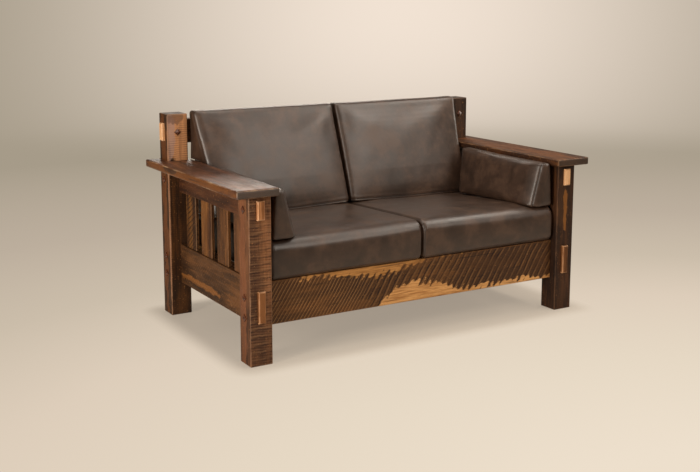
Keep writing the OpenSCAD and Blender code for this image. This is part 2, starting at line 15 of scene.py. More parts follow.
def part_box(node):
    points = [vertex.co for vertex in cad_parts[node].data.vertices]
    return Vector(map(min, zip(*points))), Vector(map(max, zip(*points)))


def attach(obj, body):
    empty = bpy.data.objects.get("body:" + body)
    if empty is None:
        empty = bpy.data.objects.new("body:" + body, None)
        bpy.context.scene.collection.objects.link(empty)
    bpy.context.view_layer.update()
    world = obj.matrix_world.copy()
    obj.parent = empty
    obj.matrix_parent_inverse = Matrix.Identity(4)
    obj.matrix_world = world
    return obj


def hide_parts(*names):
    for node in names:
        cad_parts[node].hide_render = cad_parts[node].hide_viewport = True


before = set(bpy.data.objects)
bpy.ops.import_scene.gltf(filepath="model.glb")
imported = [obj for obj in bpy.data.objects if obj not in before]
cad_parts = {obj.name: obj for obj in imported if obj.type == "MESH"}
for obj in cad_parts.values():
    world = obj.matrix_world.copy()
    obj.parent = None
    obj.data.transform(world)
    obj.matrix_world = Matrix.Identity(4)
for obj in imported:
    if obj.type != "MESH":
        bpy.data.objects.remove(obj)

MM = 0.001
FRONT = (0.0, -1.0, 0.0)
LEFTWARD = (-1.0, 0.0, 0.0)
UPWARD = (0.0, 0.0, 1.0)
# A Mix node's share, two colours and result, by number, as its other sockets share their names.
SHARE, FROM, TO, MIXED = 0, 6, 7, 2
Socket = bpy.types.NodeSocket
Triple = tuple[float, float, float]
log = logging.getLogger("sofa")


class Axis(Enum):
    """The direction in which a board's grain runs."""

    X = 0
    Y = 1
    Z = 2


class Side(Enum):
    """A side of the sofa, as the viewer in front of it sees it."""

    LEFT = -1
    RIGHT = 1

    @property
    def word(self) -> str:
        """The word that ends the names of this side's nodes."""
        return self.name.lower()


def colour(code: str) -> tuple[float, float, float, float]:
    """Turns a colour into the linear values that a shader takes.

    Args:
        code: An sRGB colour such as "#6A5C50".

    Returns:
        Red, green, blue and alpha, linear.
    """
    parts = [int(code[i : i + 2], 16) / 255 for i in (1, 3, 5)]
    linear = [c / 12.92 if c <= 0.04045 else ((c + 0.055) / 1.055) ** 2.4 for c in parts]
    return (*linear, 1.0)


def clipped(values: np.ndarray) -> np.ndarray:
    """Values held between 0 and 1."""
    return np.clip(values, 0.0, 1.0)


def shade_smoothly(mesh: bpy.types.Mesh) -> None:
    """Shades a mesh smoothly."""
    for polygon in mesh.polygons:
        polygon.use_smooth = True


def dress(node: str, material: bpy.types.Material) -> None:
    """Gives a CAD node its material.

    Args:
        node: The node's name.
        material: The material for all its slots.
    """
    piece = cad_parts[node]
    if not piece.material_slots:
        piece.data.materials.append(material)
    for slot in piece.material_slots:
        slot.material = material
    log.info("dressed %s in %s", node, material.name)


class Recipe:
    """The nodes of a material or of the world, in the making."""

    def __init__(self, owner: bpy.types.Material | bpy.types.World) -> None:
        """Empties the owner's tree.

        Args:
            owner: What the nodes belong to.
        """
        owner.use_nodes = True
        self.owner = owner
        self.tree = owner.node_tree
        self.tree.nodes.clear()

    def add(self, kind: str, inputs: list | dict | None = None, out: int | str | None = 0,
            stops: list | tuple = (), **settings) -> Socket | None:
        """Adds a node, with its settings and what feeds it.

        Args:
            kind: The node's type after the word ShaderNode, such as "Math".
            inputs: Values or sockets, in order or by the input's name or number.
            out: The output that is returned, None for a node that has none.
            stops: A colour ramp's places, each with its sRGB colour.
            **settings: The node's own properties.

        Returns:
            The output.
        """
        node = self.tree.nodes.new("ShaderNode" + kind)
        for name, value in settings.items():
            setattr(node, name, value)
        for key, value in inputs.items() if isinstance(inputs, dict) else enumerate(inputs or ()):
            if isinstance(value, Socket):
                self.tree.links.new(value, node.inputs[key])
            else:
                node.inputs[key].default_value = value
        if stops:
            ramp = node.color_ramp.elements
            ramp.remove(ramp[1])
            ramp[0].position, ramp[0].color = stops[0][0], colour(stops[0][1])
            for place, tone in stops[1:]:
                ramp.new(place).color = colour(tone)
        return None if out is None else node.outputs[out]

    def finish(self, **surface) -> bpy.types.Material:
        """Closes a material with a Principled shader.

        Args:
            **surface: The shader's inputs, with underscores for spaces.

        Returns:
            The material.
        """
        inputs = {name.replace("_", " "): value for name, value in surface.items()}
        self.add("OutputMaterial", {"Surface": self.add("BsdfPrincipled", inputs)}, None)
        return self.owner


@dataclass(frozen=True)
class SawMarks:
    """Marks that a saw left across a board.

    spacing is in millimetres along across, share the part of it that is dark,
    the two fields after tone how strongly the ridge beside a mark is painted
    pale as a highlight and in which tone, least how much of them is left where
    they fade out, waver and jitter how far they stray from straight in spacings,
    span the X in millimetres where they begin and where they are at full
    strength, and face the normal of the one face that shows them. The dark of a
    mark is partly lacquer pooled in its groove and partly painted shade.
    """

    across: Triple
    spacing: float
    strength: float
    share: float = 0.45
    # The dark of the marks: partly lacquer pooled in the grooves and partly painted shade.
    tone: str = "#24150C"
    # A painted highlight on the ridge beside each mark: how strong it is, and its tone.
    ridge_highlight: float = 0.0
    ridge_highlight_tone: str = "#8A6040"
    least: float = 0.15
    waver: float = 2.0
    jitter: float = 0.5
    span: tuple[float, float] | None = None
    face: Triple | None = None


@dataclass(frozen=True)
class BareZone:
    """A part of the apron's face that the saw didn't mark.

    line is its rim as X and Z in millimetres, and above tells on which side of
    the rim it lies. The saw's marks reach over the rim as teeth. grain is the
    tone of the streaks in it.
    """

    tone: str
    grain: str
    line: tuple[tuple[float, float], ...]
    above: bool
    teeth: float = 18.0


@dataclass(frozen=True)
class Patch:
    """A stained, worn or rough place on a board, or a place of painted light, as an ellipsoid with a
    ragged rim, in millimetres.
    """

    tone: str
    middle: Triple
    reach: Triple
    strength: float = 1.0
    ragged: float = 1.2
    face: Triple | None = None


@dataclass(frozen=True)
class Timber:
    """Rough-sawn reclaimed softwood under satin lacquer.

    The saw leaves dark marks across the grain: the lacquer pools dark in them and
    the rest of their dark is painted shade, with a painted highlight on the ridge
    beside each. Handling wears the edges pale. deep, body and glow are its tones.
    """

    name: str
    grain: Axis
    deep: str = "#2E1B10"
    body: str = "#5C3B24"
    glow: str = "#8F5B33"
    glow_share: float = 0.5
    seed: float = 0.0
    marks: tuple[SawMarks, ...] = ()
    patches: tuple[Patch, ...] = ()
    bare: tuple[BareZone, ...] = ()
    weights: Triple = (1.0, 0.7, 0.3)
    end: str = "#3A2C22"
    wear: str = "#A07858"
    wear_strength: float = 0.4
    wear_width: float = 4.5
    fleck: str = "#A87445"
    fleck_strength: float = 0.5
    roughness: float = 0.55
    specular: float = 0.28
    coat: float = 0.04
    relief: float = 1.0
    crack_tone: str = "#1A100A"

    # Each pattern's width across the grain in millimetres, how many times longer it
    # runs along it, its offset, its octaves and its distortion. Fibres are really
    # about 0.5 mm wide and are drawn at 5 mm so that they show.
    BROAD: ClassVar[tuple] = (110.0, 4.0, 0.0, 2.0, 0.6)
    STREAK: ClassVar[tuple] = (20.0, 12.0, 5.0, 4.0, 0.4)
    FIBRE: ClassVar[tuple] = (5.0, 16.0, 9.0, 2.0)
    ROUGH: ClassVar[tuple] = (30.0, 2.2, 13.0, 4.0)
    WOBBLE: ClassVar[tuple] = (160.0, 1.0, 17.0, 1.0)
    CRACK: ClassVar[tuple] = (9.0, 30.0, 21.0, 3.0, 0.3)
    FADE: ClassVar[tuple] = (55.0, 2.0, 25.0, 3.0)
    # The width in millimetres of the dents that show raw wood, and how deep the relief is.
    FLECK: ClassVar[float] = 7.0
    RELIEF: ClassVar[float] = 1.2
    # How far the sum of the patterns reaches to both sides of its middle.
    SPREAD: ClassVar[float] = 0.19
    SPREAD_LEAST: ClassVar[float] = 0.06

    def make(self, low: Vector, high: Vector) -> bpy.types.Material:
        """Builds the material for one board.

        Args:
            low: The board's lowest corner.
            high: The board's highest corner.

        Returns:
            The material.
        """
        return BoardRecipe(self, low, high).made()


class BoardRecipe(Recipe):
    """The nodes of one board's timber: patterns along the grain, laid over each other in layers."""

    # How each board's seed and each pattern's offset move the noise along X, Y and Z.
    SEED_STEPS = (3.7, 1.9, 2.3)
    SHIFT_STEPS = (1.0, -1.0, 2.0)
    # Where a mask begins and where it is full, in the pattern or distance that it is made
    # from. Where there are four numbers, the last two are its strengths at these places.
    FADED = (0.38, 0.56)
    FACING = (0.55, 0.85)
    PATCHED = (1.1, 0.8)
    PATCH_GRAIN = (0.3, 0.55, 0.55, 1.0)
    ZONE_GRAIN = (0.78, 1.06, 0.0, 0.9)
    MARKED = (1.0, 0.4)
    # Where the painted highlight beside a mark begins and where it is full.
    RIDGE_HIGHLIGHTED = (0.17, 0.06)
    DENTED = (0.68, 0.74)
    CRACKED = (0.36, 0.28, 0.0, 0.7)
    END_GRAIN = (0.6, 0.85, 0.0, 0.85)
    # The noise over which a mark widens, and its least and greatest width in its own widths.
    WIDENS = (0.36, 0.62)
    WIDTHS = (0.35, 1.3)
    # The noise over which the lacquer turns duller, and the roughness that is added there.
    DULLS = (0.3, 0.7)
    DULLER = (-0.08, 0.12)
    # Where the deep, body and glow tones lie, and how far glow_share moves each down.
    TONES_AT = (0.12, 0.55, 0.95)
    MOVED_DOWN = (0.0, 0.2, 0.3)

    def __init__(self, timber: Timber, low: Vector, high: Vector) -> None:
        """Makes the patterns that the layers share.

        Args:
            timber: The finish.
            low: The board's lowest corner.
            high: The board's highest corner.
        """
        super().__init__(bpy.data.materials.new(timber.name))
        self.timber = timber
        self.low = low
        self.high = high
        self.place = self.add("TexCoord", out="Object")
        self.normal = self.place.node.outputs["Normal"]
        self.streak = self.stretched(*timber.STREAK)
        self.fibre = self.stretched(*timber.FIBRE)
        self.rough = self.stretched(*timber.ROUGH)
        self.wobble = self.stretched(*timber.WOBBLE)
        self.marked = self.add("MapRange", [self.stretched(*timber.FADE), *self.FADED])
        self.layers: list[tuple[Socket, Socket | tuple]] = []

    def stretched(self, width: float, longer: float, shift: float, detail: float,
                  twist: float = 0.0) -> Socket:
        """Noise that is long along the grain.

        Args:
            width: Width of a feature across the grain, in millimetres.
            longer: How many times longer it is along the grain.
            shift: Offset that sets this pattern apart from the others.
            detail: Octaves of the noise.
            twist: Distortion of the noise.

        Returns:
            The noise, about 0.3 to 0.7.
        """
        scale = [1 / (width * MM)] * 3
        scale[self.timber.grain.value] /= longer
        steps = zip(self.SEED_STEPS, self.SHIFT_STEPS)
        offset = tuple(self.timber.seed * one + shift * other for one, other in steps)
        moved = self.add("Mapping", {"Vector": self.place, "Location": offset, "Scale": tuple(scale)})
        return self.add("TexNoise", {
            "Vector": moved, "Scale": 1.0, "Detail": detail, "Roughness": 0.6, "Distortion": twist,
        })

    def facing(self, face: Triple) -> Socket:
        """Mask of the surface that looks one way.

        Args:
            face: The direction.

        Returns:
            1 where the surface looks that way, 0 elsewhere.
        """
        near = self.add("VectorMath", [self.normal, face], "Value", operation="DOT_PRODUCT")
        return self.add("MapRange", [near, *self.FACING])

    def edge_distance(self) -> Socket:
        """Distance of the surface from the board's nearest edge.

        Returns:
            The distance in metres: the middle one of the distances to the three pairs of faces.
        """
        middle = tuple((self.low + self.high) / 2)
        half = tuple((self.high - self.low) / 2)
        off = self.add("VectorMath", [self.place, middle], operation="SUBTRACT")
        off = self.add("VectorMath", [off], operation="ABSOLUTE")
        inside = self.add("VectorMath", [half, off], operation="SUBTRACT")
        one, two, three = self.add("SeparateXYZ", [inside]).node.outputs
        less = self.add("Math", [one, two], operation="MINIMUM")
        more = self.add("Math", [one, two], operation="MAXIMUM")
        more = self.add("Math", [more, three], operation="MINIMUM")
        return self.add("Math", [less, more], operation="MAXIMUM")

    def saw_wave(self, marks: SawMarks) -> Socket:
        """The place between one saw mark and the next.

        Args:
            marks: The marks.

        Returns:
            A whole number in the middle of each mark, rising by 1 to the next.
        """
        along = tuple(Vector(marks.across).normalized() / (marks.spacing * MM))
        wave = self.add("VectorMath", [self.place, along], "Value", operation="DOT_PRODUCT")
        for pattern, reach in ((self.wobble, marks.waver), (self.rough, marks.jitter)):
            wave = self.add("Math", [pattern, reach, wave], operation="MULTIPLY_ADD")
        return wave

    def near_mark(self, wave: Socket, shift: float = 0.0) -> Socket:
        """How far the surface is from the nearest saw mark.

        Args:
            wave: The place between one mark and the next.
            shift: Moves the marks by this share of their spacing.

        Returns:
            0 in the middle of a mark, 0.5 halfway to the next.
        """
        moved = self.add("Math", [wave, shift], operation="ADD")
        return self.add("Math", [moved, 0.5], operation="PINGPONG")

    def own_colour(self) -> Socket:
        """The board's colour before the layers, from its patterns and its three tones.

        Returns:
            The colour.
        """
        wood = self.timber
        patterns = (self.stretched(*wood.BROAD), self.streak, self.fibre)
        total = self.add("Math", [patterns[0], wood.weights[0]], operation="MULTIPLY")
        for pattern, weight in zip(patterns[1:], wood.weights[1:]):
            total = self.add("Math", [pattern, weight, total], operation="MULTIPLY_ADD")
        half = sum(wood.weights) / 2
        reach = wood.SPREAD * math.hypot(*wood.weights) + wood.SPREAD_LEAST
        tone = self.add("MapRange", [total, half - reach, half + reach])
        places = (at - down * wood.glow_share for at, down in zip(self.TONES_AT, self.MOVED_DOWN))
        stops = list(zip(places, (wood.deep, wood.body, wood.glow)))
        return self.add("ValToRGB", [tone], stops=stops)

    def patch(self, patch: Patch) -> None:
        """Adds the layer of one patch.

        Args:
            patch: The patch.
        """
        middle = tuple(v * MM for v in patch.middle)
        grow = tuple(1 / (v * MM) for v in patch.reach)
        off = self.add("VectorMath", [self.place, middle], operation="SUBTRACT")
        off = self.add("VectorMath", [off, grow], operation="MULTIPLY")
        far = self.add("VectorMath", [off], "Value", operation="LENGTH")
        rim = self.add("Math", [self.rough, -0.5], operation="ADD")
        rim = self.add("Math", [rim, 2.0 * patch.ragged, far], operation="MULTIPLY_ADD")
        mask = self.add("MapRange", [rim, *self.PATCHED], interpolation_type="SMOOTHSTEP")
        if patch.face:
            mask = self.add("Math", [mask, self.facing(patch.face)], operation="MULTIPLY")
        grainy = self.add("MapRange", [self.streak, *self.PATCH_GRAIN])
        for share in (grainy, patch.strength):
            mask = self.add("Math", [mask, share], operation="MULTIPLY")
        self.layers.append((mask, colour(patch.tone)))

    def bare_zone(self, zone: BareZone, near: Socket) -> Socket:
        """Adds the layer of a zone that the saw didn't mark.

        Args:
            zone: The zone.
            near: How far the surface is from the nearest saw mark.

        Returns:
            1 in the zone, 0 outside.
        """
        low, high = self.low, self.high
        x, _, z = self.add("SeparateXYZ", [self.place]).node.outputs
        rim = self.add("FloatCurve", {"Value": self.add("MapRange", [x, low.x, high.x])})
        mapping = rim.node.mapping
        points = mapping.curves[0].points
        wide, tall = high.x - low.x, high.z - low.z
        spots = [((u * MM - low.x) / wide, (v * MM - low.z) / tall) for u, v in zone.line]
        points[0].location = spots[0]
        points[1].location = spots[-1]
        for spot in spots[1:-1]:
            points.new(*spot)
        mapping.use_clip = False
        mapping.update()
        rim = self.add("MapRange", [rim, 0.0, 1.0, low.z, high.z], clamp=False)
        over = self.add("Math", [z, rim], operation="SUBTRACT")
        over = self.add("Math", [over, 1.0 if zone.above else -1.0], operation="MULTIPLY")
        teeth = zone.teeth * MM
        ragged = 0.1
        for pattern, reach in ((near, 2 * teeth), (self.rough, ragged)):
            over = self.add("Math", [pattern, reach, over], operation="MULTIPLY_ADD")
        middle = (teeth + ragged) / 2
        blur = 6 * MM
        mask = self.add("MapRange", [over, middle - blur, middle + blur], interpolation_type="SMOOTHSTEP")
        figure = self.add("Math", [self.fibre, 0.8, self.streak], operation="MULTIPLY_ADD")
        figure = self.add("MapRange", [figure, *self.ZONE_GRAIN])
        tones = {SHARE: figure, FROM: colour(zone.tone), TO: colour(zone.grain)}
        self.layers.append((mask, self.add("Mix", tones, MIXED, data_type="RGBA")))
        return mask

    def saw_marks(self, marks: SawMarks, wave: Socket, smooth: Socket | float) -> Socket:
        """Adds the layers of one set of saw marks: the dark marks, partly painted shade, and the painted
        highlight on the ridge beside each.

        Args:
            marks: The marks.
            wave: The place between one mark and the next.
            smooth: Mask of the zones without marks.

        Returns:
            1 in a mark, 0 outside.
        """
        edge = 0.5 * marks.share
        thick = [self.rough, *self.WIDENS, *(width * edge for width in self.WIDTHS)]
        thick = self.add("MapRange", thick)
        inside = self.add("Math", [self.near_mark(wave), thick], operation="DIVIDE")
        lines = self.add("MapRange", [inside, *self.MARKED], interpolation_type="SMOOTHSTEP")
        # The pale ridge beside each mark is a painted highlight.
        beside = self.near_mark(wave, -marks.share)
        ridge_highlights = [beside, *self.RIDGE_HIGHLIGHTED, 0.0, marks.ridge_highlight]
        ridge_highlights = self.add("MapRange", ridge_highlights, interpolation_type="SMOOTHSTEP")
        shown = self.add("MapRange", [self.marked, 0.0, 1.0, marks.least])
        shares = [self.add("Math", [1.0, smooth], operation="SUBTRACT")]
        if marks.face:
            shares.append(self.facing(marks.face))
        if marks.span:
            begin, full = marks.span
            x = self.add("SeparateXYZ", [self.place])
            shares.append(self.add("MapRange", [x, begin * MM, full * MM]))
        for share in shares:
            shown = self.add("Math", [shown, share], operation="MULTIPLY")
        lines = self.add("Math", [lines, shown], operation="MULTIPLY")
        ridge_highlights = self.add("Math", [ridge_highlights, shown], operation="MULTIPLY")
        # The dark of a mark is partly lacquer in its groove and partly painted shade.
        dark = self.add("Math", [lines, marks.strength], operation="MULTIPLY")
        self.layers += [(dark, colour(marks.tone)), (ridge_highlights, colour(marks.ridge_highlight_tone))]
        return lines

    def wear(self) -> None:
        """Adds the layers of dents, cracks, end grain and worn edges."""
        wood = self.timber
        dent = self.add("TexNoise", {"Vector": self.place, "Scale": 1 / (wood.FLECK * MM), "Detail": 1.0})
        dent = self.add("MapRange", [dent, *self.DENTED, 0.0, wood.fleck_strength])
        crack = self.add("MapRange", [self.stretched(*wood.CRACK), *self.CRACKED])
        along = tuple(float(axis is wood.grain) for axis in Axis)
        end = self.add("VectorMath", [self.normal, along], "Value", operation="DOT_PRODUCT")
        end = self.add("Math", [end], operation="ABSOLUTE")
        end = self.add("MapRange", [end, *self.END_GRAIN])
        wander = 12 * MM
        edge = self.add("Math", [self.rough, wander, self.edge_distance()], operation="MULTIPLY_ADD")
        width = wood.wear_width * MM
        near, far = wander / 2 + 0.4 * width, wander / 2 + width
        edge = self.add("MapRange", [edge, far, near, 0.0, wood.wear_strength])
        layers = ((dent, wood.fleck), (crack, wood.crack_tone), (end, wood.end), (edge, wood.wear))
        self.layers += [(share, colour(tone)) for share, tone in layers]

    def made(self) -> bpy.types.Material:
        """Lays the layers over the board's own colour and closes the material.

        Returns:
            The material.
        """
        wood = self.timber
        for patch in wood.patches:
            self.patch(patch)
        waves = [self.saw_wave(marks) for marks in wood.marks]
        smooth = 0.0
        for zone in wood.bare:
            mask = self.bare_zone(zone, self.near_mark(waves[-1]))
            smooth = self.add("Math", [smooth, mask], operation="MAXIMUM")
        height = self.add("Math", [self.streak, 0.5, self.fibre], operation="MULTIPLY_ADD")
        for marks, wave in zip(wood.marks, waves):
            lines = self.saw_marks(marks, wave, smooth)
            height = self.add("Math", [lines, -0.8 * marks.strength, height], operation="MULTIPLY_ADD")
        self.wear()
        paint = self.own_colour()
        for share, tone in self.layers:
            tones = {SHARE: share, FROM: paint, TO: tone}
            paint = self.add("Mix", tones, MIXED, data_type="RGBA")
        gloss = [self.rough, *self.DULLS, *(wood.roughness + more for more in self.DULLER)]
        gloss = self.add("MapRange", gloss)
        deep = wood.RELIEF * MM * wood.relief
        bump = self.add("Bump", {"Height": height, "Distance": deep, "Strength": 0.7})
        return self.finish(
            Base_Color=paint, Roughness=gloss, Normal=bump, IOR=1.5,
            Specular_IOR_Level=wood.specular, Coat_Weight=wood.coat, Coat_Roughness=0.25,
        )


@dataclass(frozen=True)
class Leather:
    """Waxed aniline cowhide, dark taupe: softly mottled, satin, with a fine pebble grain.

    The real pebbles are about 0.7 mm and are drawn at 2 mm so that they show.
    """

    name: str = "waxed_leather"
    deep: str = "#2F2016"
    body: str = "#3B291E"
    pale: str = "#4B3628"
    # The dark near a seam: its thread and the painted shade of the seam's groove.
    thread: str = "#1C1612"
    clouds_per_metre: float = 9.0
    mottles_per_metre: float = 26.0
    pebble: float = 2.0
    roughness: float = 0.44
    # In millimetres, how far off a seam its painted shade begins and is full, and how deep the relief is.
    shade: tuple[float, float] = (2.2, 0.9)
    shade_strength: float = 0.75
    relief: float = 0.6

    # The noise over which the tones and the gloss change, and the roughness that is added there.
    TONED: ClassVar[tuple] = (0.72, 1.28)
    DULLS: ClassVar[tuple] = (0.75, 1.25)
    DULLER: ClassVar[tuple] = (-0.08, 0.1)

    def make(self) -> bpy.types.Material:
        """Builds the material; the "seam" attribute is the distance from a seam in metres.

        Returns:
            The material.
        """
        recipe = Recipe(bpy.data.materials.new(self.name))
        add = recipe.add
        place = add("TexCoord", out="Object")
        clouds = {"Vector": place, "Scale": self.clouds_per_metre, "Detail": 3.0, "Distortion": 0.8}
        mottle = {"Vector": place, "Scale": self.mottles_per_metre, "Detail": 6.0, "Roughness": 0.7}
        clouds, mottle = (add("TexNoise", inputs) for inputs in (clouds, mottle))
        both = add("Math", [clouds, mottle], operation="ADD")
        tone = add("MapRange", [both, *self.TONED])
        hide = add("ValToRGB", [tone], stops=((0.1, self.deep), (0.5, self.body), (0.9, self.pale)))
        # Near a seam the hide is painted dark: the thread and the painted shade in the seam's groove.
        seam = add("Attribute", out="Fac", attribute_name="seam")
        shade = [seam, *(reach * MM for reach in self.shade), 0.0, self.shade_strength]
        seam = add("MapRange", shade, interpolation_type="SMOOTHSTEP")
        tones = {SHARE: seam, FROM: hide, TO: colour(self.thread)}
        paint = add("Mix", tones, MIXED, data_type="RGBA")
        pebbles = add("TexVoronoi", {"Vector": place, "Scale": 1 / (self.pebble * MM)}, feature="F1")
        height = add("Math", [pebbles, 0.25, mottle], operation="MULTIPLY_ADD")
        bump = add("Bump", {"Height": height, "Distance": self.relief * MM, "Strength": 0.25})
        gloss = [both, *self.DULLS, *(self.roughness + more for more in self.DULLER)]
        gloss = add("MapRange", gloss)
        return recipe.finish(
            Base_Color=paint, Roughness=gloss, Normal=bump, IOR=1.48, Specular_IOR_Level=0.28,
            Coat_Weight=0.7, Coat_Roughness=0.36, Coat_IOR=1.5,
        )


@dataclass(frozen=True)
class StainedPeg:
    """Turned hardwood pegs in dark stain: satin, a little lighter in random spots."""

    name: str = "dark_stained_peg"
    deep: str = "#241009"
    pale: str = "#6E3E28"
    spots_per_metre: float = 120.0

    def make(self) -> bpy.types.Material:
        """Builds the material.

        Returns:
            The material.
        """
        recipe = Recipe(bpy.data.materials.new(self.name))
        place = recipe.add("TexCoord", out="Object")
        spots = recipe.add("TexNoise", {"Vector": place, "Scale": self.spots_per_metre, "Detail": 4.0})
        tone = recipe.add("MapRange", [spots, 0.3, 0.7])
        tones = {SHARE: tone, FROM: colour(self.deep), TO: colour(self.pale)}
        paint = recipe.add("Mix", tones, MIXED, data_type="RGBA")
        bump = recipe.add("Bump", {"Height": spots, "Distance": 0.5 * MM})
        return recipe.finish(
            Base_Color=paint, Roughness=0.25, Normal=bump, IOR=1.5, Coat_Weight=0.6, Coat_Roughness=0.15,
        )


@dataclass(frozen=True)
class ZincSteel:
    """Zinc-plated screws: pale grey metal with fine turned scratches."""

    name: str = "zinc_plated_steel"
    tone: str = "#B8BABD"
    scratches_per_metre: float = 900.0

    def make(self) -> bpy.types.Material:
        """Builds the material.

        Returns:
            The material.
        """
        recipe = Recipe(bpy.data.materials.new(self.name))
        place = recipe.add("TexCoord", out="Object")
        scratches = {"Vector": place, "Scale": self.scratches_per_metre, "Detail": 3.0}
        scratches = recipe.add("TexNoise", scratches)
        gloss = recipe.add("MapRange", [scratches, 0.3, 0.7, 0.25, 0.45])
        return recipe.finish(Base_Color=colour(self.tone), Metallic=1.0, Roughness=gloss)


